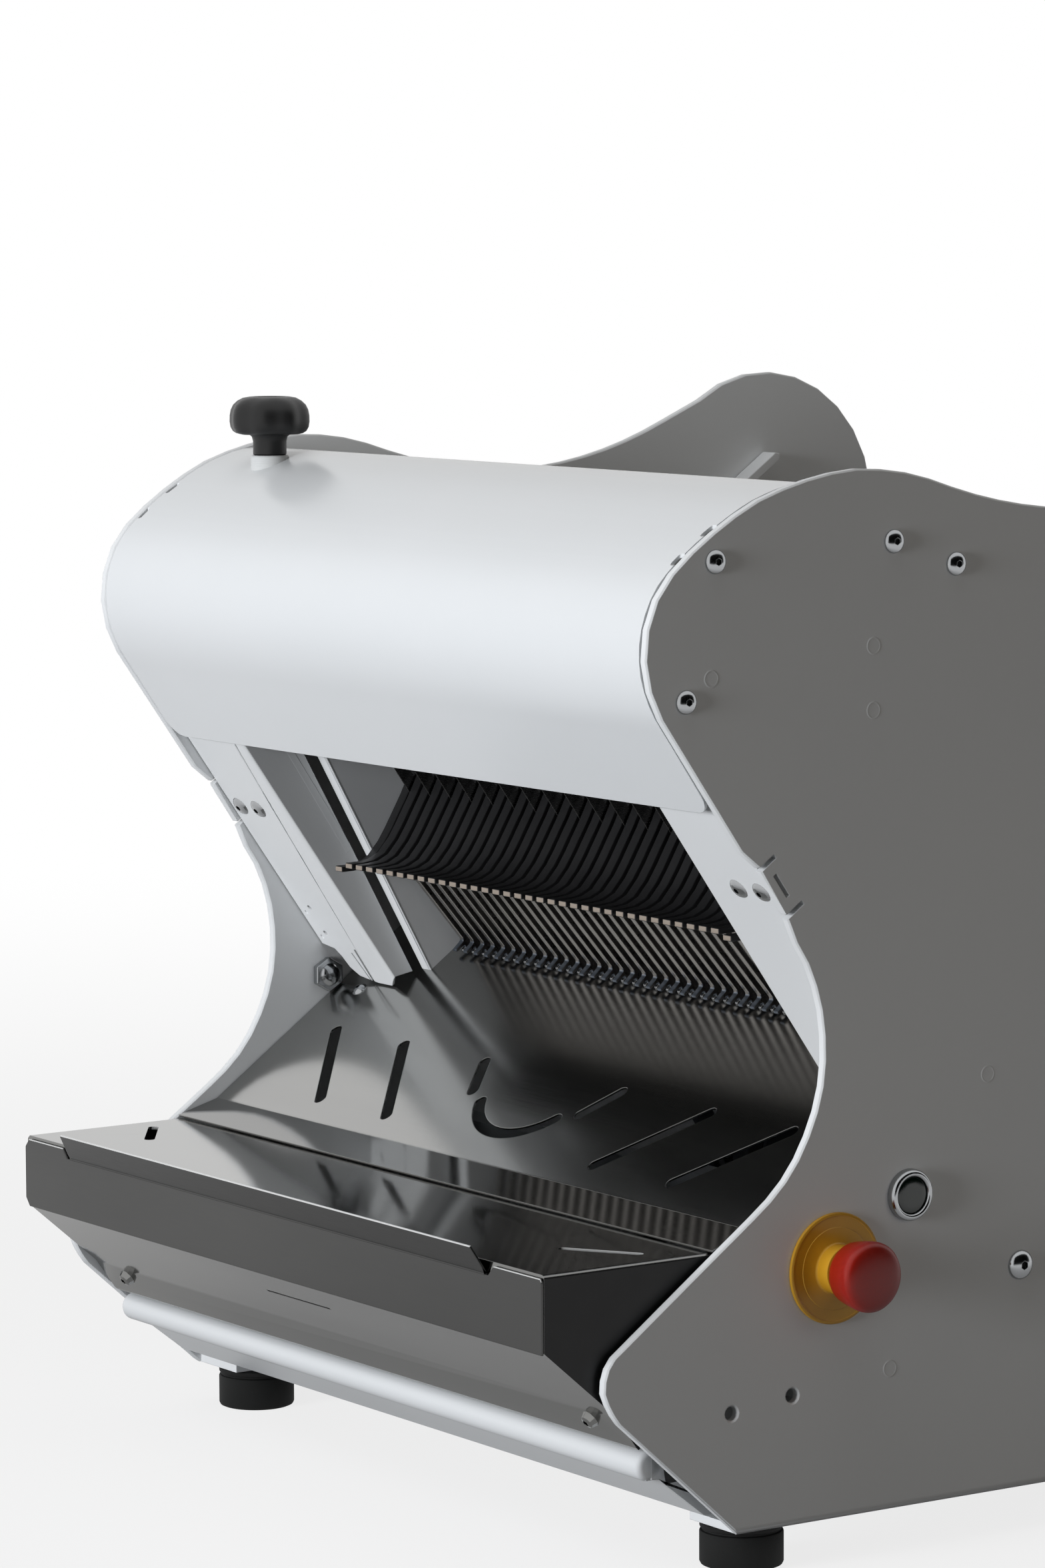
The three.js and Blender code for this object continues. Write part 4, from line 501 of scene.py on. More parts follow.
def combine(obj, others, operation="UNION"):
    """Joins others to a piece, or takes them away, as solids, and drops them."""
    for other in others:
        use(obj, "BOOLEAN", operation=operation, solver="EXACT", object=other)
        bpy.data.objects.remove(other)
    return obj


def cut(obj, cutters):
    """Takes the cutters away from a piece, and drops them."""
    return combine(obj, cutters, "DIFFERENCE")


def slot_cutter(ends, width, matrix):
    """A round-ended cutter through a sheet, between the middles of its two ends."""
    first, second = (Vector((*end, 0)) * MM for end in ends)
    run = second - first
    slot = rod(32, width / 2, CUTTER_DEPTH)
    edit(slot, "VERT")
    pick(lambda place: place.x > DOUBLES, "VERT")
    bpy.ops.transform.translate(value=(run.length, 0, 0))
    clear()
    turn = Matrix.Rotation(math.atan2(run.y, run.x), 4, "Z")
    return settle(slot, matrix @ Matrix.Translation(first) @ turn)


def arc_cutters(radius, half, width, matrix):
    """Cutters for a round-ended slot along an arc that hangs below its centre."""
    clear()
    bpy.ops.mesh.primitive_plane_add(size=1, rotation=(QUARTER, 0, 0))
    band = bpy.context.object
    band.scale = (width * MM, CUTTER_DEPTH * MM, 1)
    band.location = (radius * MM, 0, 0)
    settle(band)
    settle(band, Matrix.Rotation(math.radians(half) - QUARTER, 4, "Z"))
    # Spin turns clockwise about its axis
    edit(band)
    bpy.ops.mesh.select_all(action="SELECT")
    bpy.ops.mesh.spin(
        steps=28, angle=math.radians(half * 2), center=(0, 0, 0), axis=(0, 0, 1))
    clear()
    cutters = [settle(close(band), matrix)]
    for turn in (-90 - half, -90 + half):
        way = Matrix.Rotation(math.radians(turn), 3, "Z") @ Vector((radius, 0, 0))
        cutters.append(rod(32, width / 2, CUTTER_DEPTH, way * MM, matrix=matrix))
    return cutters


def copies(first, name, matrices):
    """Copies of a finished piece, each with its own mesh and its place in it."""
    made = []
    for number, matrix in enumerate(matrices, 1):
        choose(first)
        bpy.ops.object.duplicate(linked=False)
        twin = bpy.context.object
        twin.name = f"{name}_{number}" if isinstance(name, str) else name[number - 1]
        made.append(settle(twin, matrix))
    bpy.data.objects.remove(first)
    return made


def joined(name, parts):
    """Several pieces as one mesh."""
    clear()
    for part in parts:
        part.select_set(True)
    bpy.context.view_layer.objects.active = parts[0]
    bpy.ops.object.join()
    parts[0].name = name
    return parts[0]


def merged_copy(node, name):
    """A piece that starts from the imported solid, with its loose triangles merged."""
    source = NODES[node]
    obj = bpy.data.objects.new(name, source.data.copy())
    bpy.context.scene.collection.objects.link(obj)
    obj.matrix_world = source.matrix_world.copy()
    return merge_flats(settle(obj))


# Finishes

def add(tree, kind, inputs=None, **settings):
    """Adds one node with its settings; each input is a value or the output that feeds it."""
    new = tree.nodes.new(kind)
    for key, value in settings.items():
        setattr(new, key, value)
    for key, value in (inputs or {}).items():
        if isinstance(value, bpy.types.NodeSocket):
            tree.links.new(value, new.inputs[key])
        else:
            new.inputs[key].default_value = value
    return new


def finish(build):
    """A finish's material, built once and named after its function."""
    found = bpy.data.materials.get(build.__name__)
    if found:
        return found
    new = bpy.data.materials.new(build.__name__)
    new.use_nodes = True
    tree = new.node_tree
    tree.nodes.clear()
    add(tree, "ShaderNodeOutputMaterial", {"Surface": build(tree).outputs[0]})
    return new


def grain(tree, size, stretch=(1, 1, 1), detail=3):
    """Noise on object coordinates whose grain is a size in millimetres, stretched along an axis."""
    place = add(tree, "ShaderNodeTexCoord").outputs["Object"]
    spread = add(tree, "ShaderNodeMapping", {"Vector": place, "Scale": stretch}).outputs[0]
    return add(tree, "ShaderNodeTexNoise", {
        "Vector": spread, "Scale": 1 / (size * MM), "Detail": detail}).outputs[0]


def tinted(tree, fac, low, high):
    """A colour between two others, as hex codes or linear values, that follows a factor."""
    mix = add(tree, "ShaderNodeMix", {"Factor": fac}, data_type="RGBA")
    for place, colour in ((6, low), (7, high)):
        value = linear(colour) if isinstance(colour, str) else colour
        mix.inputs[place].default_value = (*value, 1)
    return mix.outputs[2]


def coat(tree, relief, depth, edge, low, high, rough, tone=None, shine=None, **inputs):
    """The recipe of every finish, over softened edges, its depth and edge in millimetres.

    One grain makes the relief. The tone between two colours and the roughness follow it too, or
    grains of their own."""
    soft = add(tree, "ShaderNodeBevel", {"Radius": edge * MM}, samples=4).outputs[0]
    bump = add(tree, "ShaderNodeBump", {
        "Height": relief, "Distance": depth * MM, "Strength": 1, "Normal": soft}).outputs[0]
    spread = add(tree, "ShaderNodeMapRange", {
        "Value": shine or relief, "To Min": rough[0], "To Max": rough[1]})
    return add(tree, "ShaderNodeBsdfPrincipled", {
        "Normal": bump, "Base Color": tinted(tree, tone or relief, low, high),
        "Roughness": spread.outputs[0], **inputs})


def powder_coated_steel(tree):
    """Polyester powder coat on steel: even light grey, its faint pebbled skin about 1 mm across."""
    return coat(tree, grain(tree, 1.1), 0.03, 0.7, colours().powder_shade, colours().powder,
                (0.36, 0.5), grain(tree, 160, detail=2), IOR=1.5)


def white_enamel(tree):
    """Stoved white enamel on the curved sheets: glossier, with a slow orange-peel swell."""
    wide = grain(tree, 140, detail=2)
    return coat(tree, grain(tree, 4.5), 0.02, 0.6, colours().enamel_shade, colours().enamel,
                (0.2, 0.28), wide, wide, IOR=1.5)


def brushed_stainless(tree):
    """Stainless sheet brushed along its width: reflections drawn out soft along fine lines."""
    return coat(tree, grain(tree, 0.6, (0.012, 1, 1)), 0.0008, 0.6, "#9C9C9B", "#B0B0AE",
                (0.13, 0.22), grain(tree, 60, (0.1, 1, 1)), Metallic=1)


def bare_edge_and_highlight(tree):
    """Bright stainless on edges and slot walls: partly the bare cut edge, deburred and a little
    rough, and partly a painted highlight where light catches them.
    """
    return coat(tree, grain(tree, 0.5, (0.05, 1, 1)), 0.002, 0.3, "#D2D3D3", "#E4E5E5",
                (0.35, 0.5), Metallic=0.6)


def black_steel_and_painted_shade(tree):
    """Near-black steel with a soft oily sheen. On the shelf's end plates it is painted shade, the
    dark of the unlit side that the stainless there would mirror; the comb's bar behind the strips
    is near-black too.
    """
    return coat(tree, grain(tree, 18, detail=4), 0.004, 0.6, "#101011", "#161617", (0.3, 0.42),
                Metallic=0.3)


def socket_shade(tree):
    """Painted shade inside a screw's socket: dark steel in place of the shadow in the recess."""
    return coat(tree, grain(tree, 1), 0.002, 0.2, "#1C1D1E", "#2A2B2C", (0.4, 0.55),
                Metallic=0.5)


def mirror_stainless_painted_dark(tree):
    """Bright annealed stainless of the shelf: a clear mirror with a faint rolling grain, its colour
    painted dark for the shade and dark surroundings it would mirror.
    """
    return coat(tree, grain(tree, 0.9, (0.01, 1, 1)), 0.0003, 0.6, "#7E7E7D", "#8E8E8C",
                (0.05, 0.12), grain(tree, 90, (0.2, 1, 1)), Metallic=1)


def satin_stainless_painted_dark(tree):
    """The same sheet on the shelf's front plate, satin so that reflections spread to a soft grey;
    its colour is painted dark, for the shade and dark surroundings it would mirror.
    """
    return coat(tree, grain(tree, 0.8, (0.05, 1, 1)), 0.002, 0.7, "#4E4E4E", "#5C5C5B",
                (0.26, 0.38), grain(tree, 80, (0.3, 1, 1)), Metallic=1)


def zinc_plated_steel(tree):
    """Zinc plated structural steel: blue-grey with cloudy patches a few centimetres across."""
    cloud = grain(tree, 24, detail=4)
    return coat(tree, grain(tree, 0.9), 0.01, 0.5, "#9A9FA3", "#B0B5B8", (0.36, 0.5), cloud, cloud,
                Metallic=0.35)


def ground_steel(tree):
    """Ground blade and shaft steel: bright, with very fine lines along the grinding."""
    return coat(tree, grain(tree, 0.3, (1, 0.05, 1)), 0.001, 0.2, "#9C9C9B", "#9C9C9B",
                (0.2, 0.34), Metallic=1)


def blackened_casting(tree):
    """Cast iron under a thin black oxide, with a coarse sand skin of about 0.8 mm."""
    return coat(tree, grain(tree, 0.8, detail=5), 0.06, 0.9, "#34363A", "#4A4C50", (0.5, 0.68),
                Metallic=0.6)


def dark_nylon(tree):
    """Glass-filled black nylon: nearly black, with a satin moulded skin of about 0.7 mm."""
    return coat(tree, grain(tree, 0.7), 0.015, 0.6, "#1A1A1B", "#222223", (0.36, 0.5),
                grain(tree, 30), IOR=1.53)


def wiped_tip(tree):
    """Bare metal ends of the fingers, rubbed bright and slightly warm by the bread."""
    return coat(tree, grain(tree, 0.6, (1, 3, 1)), 0.004, 0.3, "#8C8075", "#A99E92",
                (0.34, 0.46), Metallic=0.6)


def worn_comb_steel(tree):
    """Comb strips of bare steel: bright narrow faces with a slight warm bloom, streaked along."""
    return coat(tree, grain(tree, 0.8, (1, 0.08, 0.08)), 0.003, 0.3, "#A5A19D", "#BDBAB7",
                (0.22, 0.34), grain(tree, 14, detail=4), Metallic=1)


def nose_steel(tree):
    """Blued steel on the comb's noses: cool dark grey, rubbed smooth."""
    return coat(tree, grain(tree, 1.4, (1, 0.3, 0.3)), 0.003, 0.3, "#5B626C", "#767E89",
                (0.26, 0.36), Metallic=0.8)


def moulded_rubber(tree):
    """Black nitrile rubber: matt, faintly dusty, with a fine pore of about 0.5 mm."""
    return coat(tree, grain(tree, 0.5, detail=4), 0.03, 0.5, "#090A0A", "#101111", (0.62, 0.8),
                grain(tree, 18), IOR=1.52)


def signal_yellow(tree):
    """Moulded polyamide in safety yellow: even, with a soft sheen."""
    return coat(tree, grain(tree, 0.9), 0.01, 0.4, colours().stop_plate_shade,
                colours().stop_plate, (0.32, 0.44), grain(tree, 22), IOR=1.53)


def signal_red(tree):
    """Polished red polyamide of the mushroom head, with a clear highlight."""
    return coat(tree, grain(tree, 2.2), 0.008, 0.4, colours().stop_head_shade,
                colours().stop_head, (0.3, 0.4), IOR=1.5)


def lens_green(tree):
    """Unlit dark green polycarbonate lens: almost black, and glossy."""
    return coat(tree, grain(tree, 1.6), 0.02, 0.3, "#02140E", "#041D14", (0.1, 0.2), IOR=1.58)


def chrome_plate(tree):
    """Bright chrome plate on small turned parts, with faint polishing haze."""
    return coat(tree, grain(tree, 3), 0.001, 0.3, "#A8AAAC", "#A8AAAC", (0.12, 0.22), Metallic=1)


def black_phenolic(tree):
    """Moulded black phenolic of the knob: deep black with a soft satin gloss."""
    return coat(tree, grain(tree, 1.2), 0.01, 0.6, "#0A0A0B", "#101010", (0.38, 0.5),
                grain(tree, 16), IOR=1.48)


def white_nylon(tree):
    """Natural white nylon of the bush: matt, with fine turning marks."""
    return coat(tree, grain(tree, 0.8, (0.1, 0.1, 1)), 0.01, 0.4, "#C9CBCB", "#DADCDC",
                (0.42, 0.55), IOR=1.53)


def dressed(obj, build):
    """Gives a piece one finish."""
    obj.data.materials.clear()
    obj.data.materials.append(finish(build))
    return obj


def second_finish(obj, build, direction, least=0.9, also=None):
    """Gives the faces that look one way, and pass a test on their middle, another finish."""
    obj.data.materials.append(finish(build))
    edit(obj)
    shape = bmesh.from_edit_mesh(obj.data)
    way = Vector(direction).normalized()
    for face in shape.faces:
        middle = face.calc_center_median()
        face.select_set(face.normal.dot(way) > least and (also is None or also(middle)))
    bmesh.update_edit_mesh(obj.data)
    obj.active_material_index = len(obj.data.materials) - 1
    bpy.ops.object.material_slot_assign()
    clear()


def stand_in(obj, node, body="housing"):
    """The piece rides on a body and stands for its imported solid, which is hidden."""
    settle(obj)
    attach(obj, body)
    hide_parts(node)


def sizes():
    """The sizes set in the sidebar."""
    return bpy.context.scene.slicer_sizes


def colours():
    """The colours set in the sidebar."""
    return bpy.context.scene.slicer_colours


def length_choice(name, description, default):
    """A length property that starts at a size in millimetres."""
    return bpy.props.FloatProperty(
        name=name, description=description, default=default * MM, unit="LENGTH")


class SlicerSizes(bpy.types.PropertyGroup):
    """Sizes a user would change"""
    edge: length_choice("Panel edge", "Rounding of the side panels' edges", 0.7)
    hood_thickness: length_choice("Hood sheet", "Thickness of the hood's sheet", SHEET)
    slot_width: length_choice("Chute slot", "Width of the slots in the chute", SLOT_WIDTH)
    finger_thickness: length_choice("Finger", "Thickness of the pusher's fingers", FINGER_THICK)
    lens: bpy.props.FloatProperty(
        name="Lens", description="Focal length on a 36 mm frame height", default=129.86)


def colour_choice(name, code):
    """A colour property that starts at an sRGB hex colour."""
    return bpy.props.FloatVectorProperty(
        name=name, description=f"{name} colour", subtype="COLOR", size=3, min=0, max=1,
        default=linear(code))


class SlicerColours(bpy.types.PropertyGroup):
    """Colours a user would change"""
    powder: colour_choice("Panels", "#E9EBEC")
    powder_shade: colour_choice("Panels, deeper", "#E3E5E7")
    enamel: colour_choice("Hood", "#E3E5E7")
    enamel_shade: colour_choice("Hood, deeper", "#DDE0E2")
    stop_plate: colour_choice("Stop plate", "#D9A42C")
    stop_plate_shade: colour_choice("Stop plate, deeper", "#C79324")
    stop_head: colour_choice("Stop head", "#A01F12")
    stop_head_shade: colour_choice("Stop head, deeper", "#8F190F")


class SLICER_OT_side_panels(bpy.types.Operator):
    """Side panels: their edges rounded and their long curves shaded smooth"""
    bl_idname = "slicer.side_panels"
    bl_label = "Side panels"

    def execute(self, context):
        for side, sign in SIDES:
            node = f"side_panel_{side}"
            panel = merged_copy(node, f"panel_{side}")
            combine(panel, [side_block("lip_front", sign, *LIP)])
            radius, run, (x, y, z) = LOWER_CORE
            core = rod(48, radius, run, at(sign * x, y, z), (QUARTER, 0, 0))
            cut(panel, [cut(side_block("corner", sign, *LOWER_CUT), [core])])
            soften(panel, sizes().edge / MM, angle=32)
            places = [facing((sign, 0, 0), at(sign * PANEL_OUTER, *point)) for point in STUD_MARKS]
            marks = copies(turned("mark", STUD_MARK, 28), "mark", places)
            panel = joined(f"panel_{side}", [panel, *marks])
            stand_in(dressed(panel, powder_coated_steel), node)
        return {"FINISHED"}


class SLICER_OT_hood(bpy.types.Operator):
    """Hood: one curved sheet with rounded lower corners and two notches in each side edge"""
    bl_idname = "slicer.hood"
    bl_label = "Hood"

    def execute(self, context):
        hood = folded("hood_sheet", HOOD_LINE, HOOD_HALF, sizes().hood_thickness / MM)
        corners = [at(sign * HOOD_HALF, *HOOD_LINE[0]) for _, sign in SIDES]
        bevel(hood, lambda middle: min((middle - corner).length for corner in corners) < 3 * MM,
              HOOD_CORNER, 6)
        across, reach = NOTCH_HALF
        cut(hood, [block("notch", (sign * HOOD_HALF - across, y - reach, z - reach),
                         (sign * HOOD_HALF + across, y + reach, z + reach), width=1.4)
                   for _, sign in SIDES for y, z in HOOD_NOTCHES])
        soften(hood, 0.5, angle=35)
        stand_in(dressed(hood, white_enamel), "hood")
        return {"FINISHED"}


class SLICER_OT_sheets(bpy.types.Operator):
    """Guards, rails, shelf and its front plate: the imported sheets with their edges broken"""
    bl_idname = "slicer.sheets"
    bl_label = "Flat sheets"

    def execute(self, context):
        # The front plate's stainless has a colour painted dark, for the shade and dark surroundings
        # it would mirror
        face = soften(merged_copy("shelf_face", "shelf_face_sheet"), 0.45)
        # The front plate's top edge takes a bright finish: partly its bare cut edge, partly a
        # painted highlight
        second_finish(dressed(face, satin_stainless_painted_dark), bare_edge_and_highlight, (0, -0.49, 0.87), 0.7,
                      lambda middle: middle.z > at(0, 0, FACE_HIGHLIGHT_Z).z)
        stand_in(face, "shelf_face")
        self.shelf()
        for side, sign in SIDES:
            self.guard(f"guard_upright_{side}", sign)
            node = f"slide_rail_{side}"
            rail = soften(merged_copy(node, f"{node}_sheet"), 0.8)
            stand_in(dressed(rail, powder_coated_steel), node)
        return {"FINISHED"}

    def guard(self, node, sign):
        """Rounds a guard's long bend, cuts its slit and dimples, and adds the upper return."""
        sheet = merged_copy(node, f"{node}_sheet")
        bevel(sheet, lambda middle: beside(middle, GUARD_BEND_X, 0.1)
              and abs(bed_place(middle)[0] - GUARD_FACE_S) < 0.3, GUARD_BEND, 6)
        face = bed_matrix(ORIGIN + ALONG * GUARD_FACE_S * MM) @ Matrix.Rotation(QUARTER, 4, "X")
        slit = [(sign * x, q) for x, q in GUARD_SLIT]
        cut(sheet, [slot_cutter(slit, GUARD_SLIT_WIDTH, face), *(
            rod(20, *DIMPLE, (sign * x * MM, q * MM, 0), matrix=face)
            for x, q in GUARD_DIMPLES)])
        soften(merge_flats(sheet, 2 * DOUBLES), 0.5)
        across = span(sign, GUARD_BEND_X + RETURN_INSET, GUARD_BEND_X + SHEET - RETURN_INSET)
        sheet = joined(f"{node}_sheet", [sheet, plate("return", GUARD_RETURN, *across, BED, 0.3)])
        stand_in(dressed(sheet, powder_coated_steel), node)

    def shelf(self):
        """Closes the shelf's square holes, cuts the splayed slots and narrows the slit below."""
        sheet = merged_copy("receiving_shelf", "receiving_shelf_sheet")
        x, y, half = SHELF_HOLE
        fills = [side_block("fill", sign, (x - half, y - half, SHELF_TOP - SHEET),
                            (x + half, y + half, SHELF_TOP)) for _, sign in SIDES]
        first, last = (Vector((0, *point)) for point in UNDER_LINE)
        run = (last - first).normalized()
        inward = Vector((0, -run.z, run.y))
        for near, far in UNDER_FILLS:
            corners = [first + run * t + inward * depth
                       for t, depth in ((near, 0), (far, 0), (far, SHEET), (near, SHEET))]
            fills.append(plate("fill", [place.yz for place in corners], *UNDER_SLIT_X, width=0))
        combine(sheet, fills)
        top = Matrix.Translation(at(0, 0, SHELF_TOP))
        cut(sheet, [slot_cutter([(sign * a, b) for a, b in SHELF_SLOTS], SHELF_SLOT_WIDTH, top)
                    for _, sign in SIDES])
        front = at(0, SHELF_CORNER_Y, SHELF_TOP)
        bevel(sheet, lambda middle: beside(middle, HOOD_HALF, 3)
              and abs(middle.z - front.z) < 0.1 * MM
              and abs(middle.y - front.y) < 30 * MM, SHELF_CORNER, 4)
        # The shelf's mirror stainless has its colour painted dark, for the dark surroundings it
        # would mirror
        dressed(soften(sheet, 0.4), mirror_stainless_painted_dark)
        hole = at(0, y, SHELF_TOP - SHEET / 2)
        reach, back, rise = (size * MM for size in SLOT_WALL_HIGHLIGHT)
        for _, sign in SIDES:
            # The shelf's end faces get painted shade: near-black for the unlit side they would
            # mirror
            second_finish(sheet, black_steel_and_painted_shade, (sign, 0, 0), 0.95)
            # The slots' walls that face the front take the bright finish: a painted highlight,
            # partly bare cut edge
            second_finish(sheet, bare_edge_and_highlight, (0.56 * sign, -0.83, 0), 0.7, lambda middle: (
                (middle - hole).xy.length < reach and abs(middle.y - hole.y) < back
                and abs(middle.z - hole.z) < rise))
        stand_in(sheet, "receiving_shelf")


class SLICER_OT_channel(bpy.types.Operator):
    """Channel walls beside the blades, each with a flange turned outwards along its front edge"""
    bl_idname = "slicer.channel"
    bl_label = "Channel walls"

    def execute(self, context):
        (s0, q0), (s1, q1) = WALL_LINE[0], WALL_LINE[-1]
        front = [(s0, q0), (s0 + SHEET, q0), (s1 + SHEET, q1), (s1, q1)]
        inner, outer = WALL_X
        for side, sign in SIDES:
            node = f"channel_wall_{side}"
            wall = plate("wall", WALL_LINE, *span(sign, inner, outer), BED)
            flange = plate("flange", front, *span(sign, inner, inner + WALL_FLANGE), BED, 0.8)
            wall = joined(f"{node}_sheet", [wall, flange])
            stand_in(dressed(wall, powder_coated_steel), node)
        return {"FINISHED"}


class SLICER_OT_chute(bpy.types.Operator):
    """Chute: a stainless sheet with round-ended slots and a flatter front strip on the shelf"""
    bl_idname = "slicer.chute"
    bl_label = "Chute"

    def execute(self, context):
        width = sizes().slot_width / MM
        line = [((on_bed(0, s, CHUTE_Q) - ORIGIN) / MM).yz for s in CHUTE_S]
        chute = folded("chute_sheet", line, HOOD_HALF, CHUTE_THICK)
        foot = soften(folded("chute_foot", CHUTE_FOOT, HOOD_HALF, CHUTE_THICK), 0.25)
        flat = bed_matrix(on_bed(0, 0, CHUTE_Q))
        slots = [slot_cutter([(sign * x, s) for x, s in ends], width, flat)
                 for ends in SLOTS for _, sign in SIDES]
        centre, radius, half = CURVED_SLOT
        curve = arc_cutters(radius, half, width, flat @ Matrix.Translation((0, centre * MM, 0)))
        soften(cut(chute, slots + curve), 0.35, angle=35)
        dressed(chute, brushed_stainless)
        # The chute's foot takes the same mirror stainless, its colour painted dark
        dressed(foot, mirror_stainless_painted_dark)
        x, s = CHUTE_SCREW_AT
        screws = copies(button_head(*CHUTE_SCREW), "chute_screw", [
            bed_matrix(on_bed(sign * x, s, CHUTE_Q)) for _, sign in SIDES])
        stand_in(joined("chute_sheet", [chute, foot, *screws]), "chute")
        return {"FINISHED"}


class SLICER_OT_crumb_tray(bpy.types.Operator):
    """Crumb tray: a bent sheet that ends in a round rolled grip edge, with side plates"""
    bl_idname = "slicer.crumb_tray"
    bl_label = "Crumb tray"

    def execute(self, context):
        floor = folded("crumb_tray_sheet", TRAY_LINE, TRAY_HALF - SHEET / 2, SHEET)
        soften(floor, 0.4, angle=35)
        centre = at(0, *ROLL_CENTRE)
        roll = rod(48, ROLL_RADIUS, TRAY_HALF * 2, centre, (0, QUARTER, 0))
        bevel(roll, lambda middle: beside(middle, TRAY_HALF, 0.1)
              and (middle - centre).yz.length > 5 * MM, ROLL_ROUNDING, 5)
        soften(roll, 0)
        ends = [plate("tray_end", TRAY_ENDS, *span(sign, TRAY_HALF - SHEET, TRAY_HALF), width=0.5)
                for _, sign in SIDES]
        tray = joined("crumb_tray_sheet", [floor, roll, *ends])
        stand_in(dressed(tray, white_enamel), "crumb_tray", "tray")
        return {"FINISHED"}


class SLICER_OT_pusher(bpy.types.Operator):
    """Pusher: curved fingers with bright wiped tips on one bar, and the plate behind them"""
    bl_idname = "slicer.pusher"
    bl_label = "Pusher comb"

    def execute(self, context):
        finger = folded("finger", FINGER_LINE, FINGER_WIDTH / 2, sizes().finger_thickness / MM)
        dressed(soften(finger, 0.45, segments=1, angle=40), dark_nylon)
        second_finish(finger, wiped_tip, (0, -1, 0), 0.8,
                      lambda middle: middle.y < at(0, TIP_Y, 0).y)
        places = []
        for i in range(FINGERS):
            drop = END_DROP if i in (0, FINGERS - 1) else 0
            places.append(Matrix.Translation(Vector((FIRST_X + PITCH * i, 0, -drop)) * MM))
        fingers = copies(finger, "finger", places)
        bar = dressed(block("pusher_bar", *PUSHER_BAR, BED, 0.8), dark_nylon)
        back = dressed(block("pusher_plate", *PUSHER_PLATE, BED, 0.5), dark_nylon)
        comb = joined("pusher_fingers", [*fingers, bar, back])
        stand_in(comb, "pusher_comb", "pusher")
        return {"FINISHED"}


class SLICER_OT_outfeed_comb(bpy.types.Operator):
    """Outfeed comb: upright strips that end in low noses on the chute, on a dark bar behind"""
    bl_idname = "slicer.outfeed_comb"
    bl_label = "Outfeed comb"

    def execute(self, context):
        strip = plate("strip", STRIP_LINE, -STRIP_WIDTH / 2, STRIP_WIDTH / 2, BED, 0)
        dressed(soften(strip, 0.4, segments=1), worn_comb_steel)
        second_finish(strip, nose_steel, ABOVE, ANY_WAY,
                      lambda middle: bed_place(middle)[1] < STRIP_NOSE_Q)
        pin = dressed(turned("pin", STRIP_PIN, 10), chrome_plate)
        settle(pin, facing(-ALONG, on_bed(0, *STRIP_PIN_AT)))
        strips = copies(joined("strip", [strip, pin]), "strip", [
            Matrix.Translation(((FIRST_X + PITCH * (i + 0.5)) * MM, 0, 0))
            for i in range(FINGERS - 1)])
        # The comb's bar takes the same near-black steel as the painted shade on the shelf's ends
        bar = dressed(block("comb_bar", *COMB_BAR, BED, 0.6), black_steel_and_painted_shade)
        comb = joined("outfeed_strips", [*strips, bar])
        stand_in(comb, "outfeed_comb")
        return {"FINISHED"}


class SLICER_OT_controls(bpy.types.Operator):
    """Controls on the right panel: the stop button on its plate, the start button in its bezel"""
    bl_idname = "slicer.controls"
    bl_label = "Stop and start buttons"

    def execute(self, context):
        for node, profile, build, body, slot, sides, ring in (
                ("stop_plate", STOP_PLATE, signal_yellow, "housing", "yellow_plastic", 64, False),
                ("stop_button", STOP_HEAD, signal_red, "stop", "red_plastic", 64, False),
                ("start_bezel", START_BEZEL, chrome_plate, "housing", "chromed", 48, True),
                ("start_button", START_CAP, lens_green, "start", "green_plastic", 48, False)):
            place = middle_of(node)
            place.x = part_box(node)[0][0] - profile[0][1] * MM
            piece = turned(f"{node}_turned", profile, sides, ring)
            dressed(settle(piece, facing((1, 0, 0), place)), build)
            stand_in(piece, node, body)
        return {"FINISHED"}


class SLICER_OT_knob(bpy.types.Operator):
    """Knob on the hood: a fluted black head on a short stem, over a white bush"""
    bl_idname = "slicer.knob"
    bl_label = "Knob"

    def execute(self, context):
        head = turned("knob_head", KNOB_HEAD, 64)
        edit(head, "VERT")
        for level in (0.15, 0.5, 0.85, 1):
            def on_flute(point, level=level):
                depth = (1 - math.cos(math.atan2(point.y, point.x) * FLUTES)) / 2
                return abs(depth - level) < 0.02 and point.xy.length > FLUTED_FROM * MM
            pick(on_flute, "VERT")
            share = 1 - FLUTE_DEPTH * level / max(KNOB_HEAD)[0]
            bpy.ops.transform.resize(value=(share, share, 1), center_override=(0, 0, 0))
        settle(head, Matrix.Translation((0, 0, HEAD_RISE * MM)))
        knob = soften(joined("knob_turned", [head, turned("knob_stem", KNOB_STEM)]), 0)
        place = base_of("knob")
        dressed(settle(knob, Matrix.Translation(place)), black_phenolic)
        stand_in(knob, "knob", "adjuster")
        place.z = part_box("knob_collar")[1][2] - COLLAR[-1][1] * MM
        bush = settle(turned("knob_bush", COLLAR), Matrix.Translation(place))
        stand_in(dressed(bush, white_nylon), "knob_collar")
        return {"FINISHED"}


def button_head(radius, height):
    """A chromed button head with a hexagon socket, its inside painted dark as shade."""
    profile = [(radius * 0.97, 0), (radius, height * RIM)]
    for step in range(1, 9):
        turn = QUARTER * step / 9
        profile.append((radius * math.cos(turn), height * (RIM + (1 - RIM) * math.sin(turn))))
    head = turned("screw_head", [*profile, (0.3, height)], 40)
    cut(head, [rod(6, radius * SOCKET, height * 1.2, (0, 0, height * 1.02 * MM))])
    dressed(soften(head, 0.12, segments=1, angle=40), chrome_plate)
    second_finish(head, socket_shade, (0, 0, 1), ANY_WAY, lambda middle: (
        middle.xy.length < radius * (SOCKET - 0.01) * MM
        and height * 0.3 * MM < middle.z < height * 0.9 * MM))
    return head


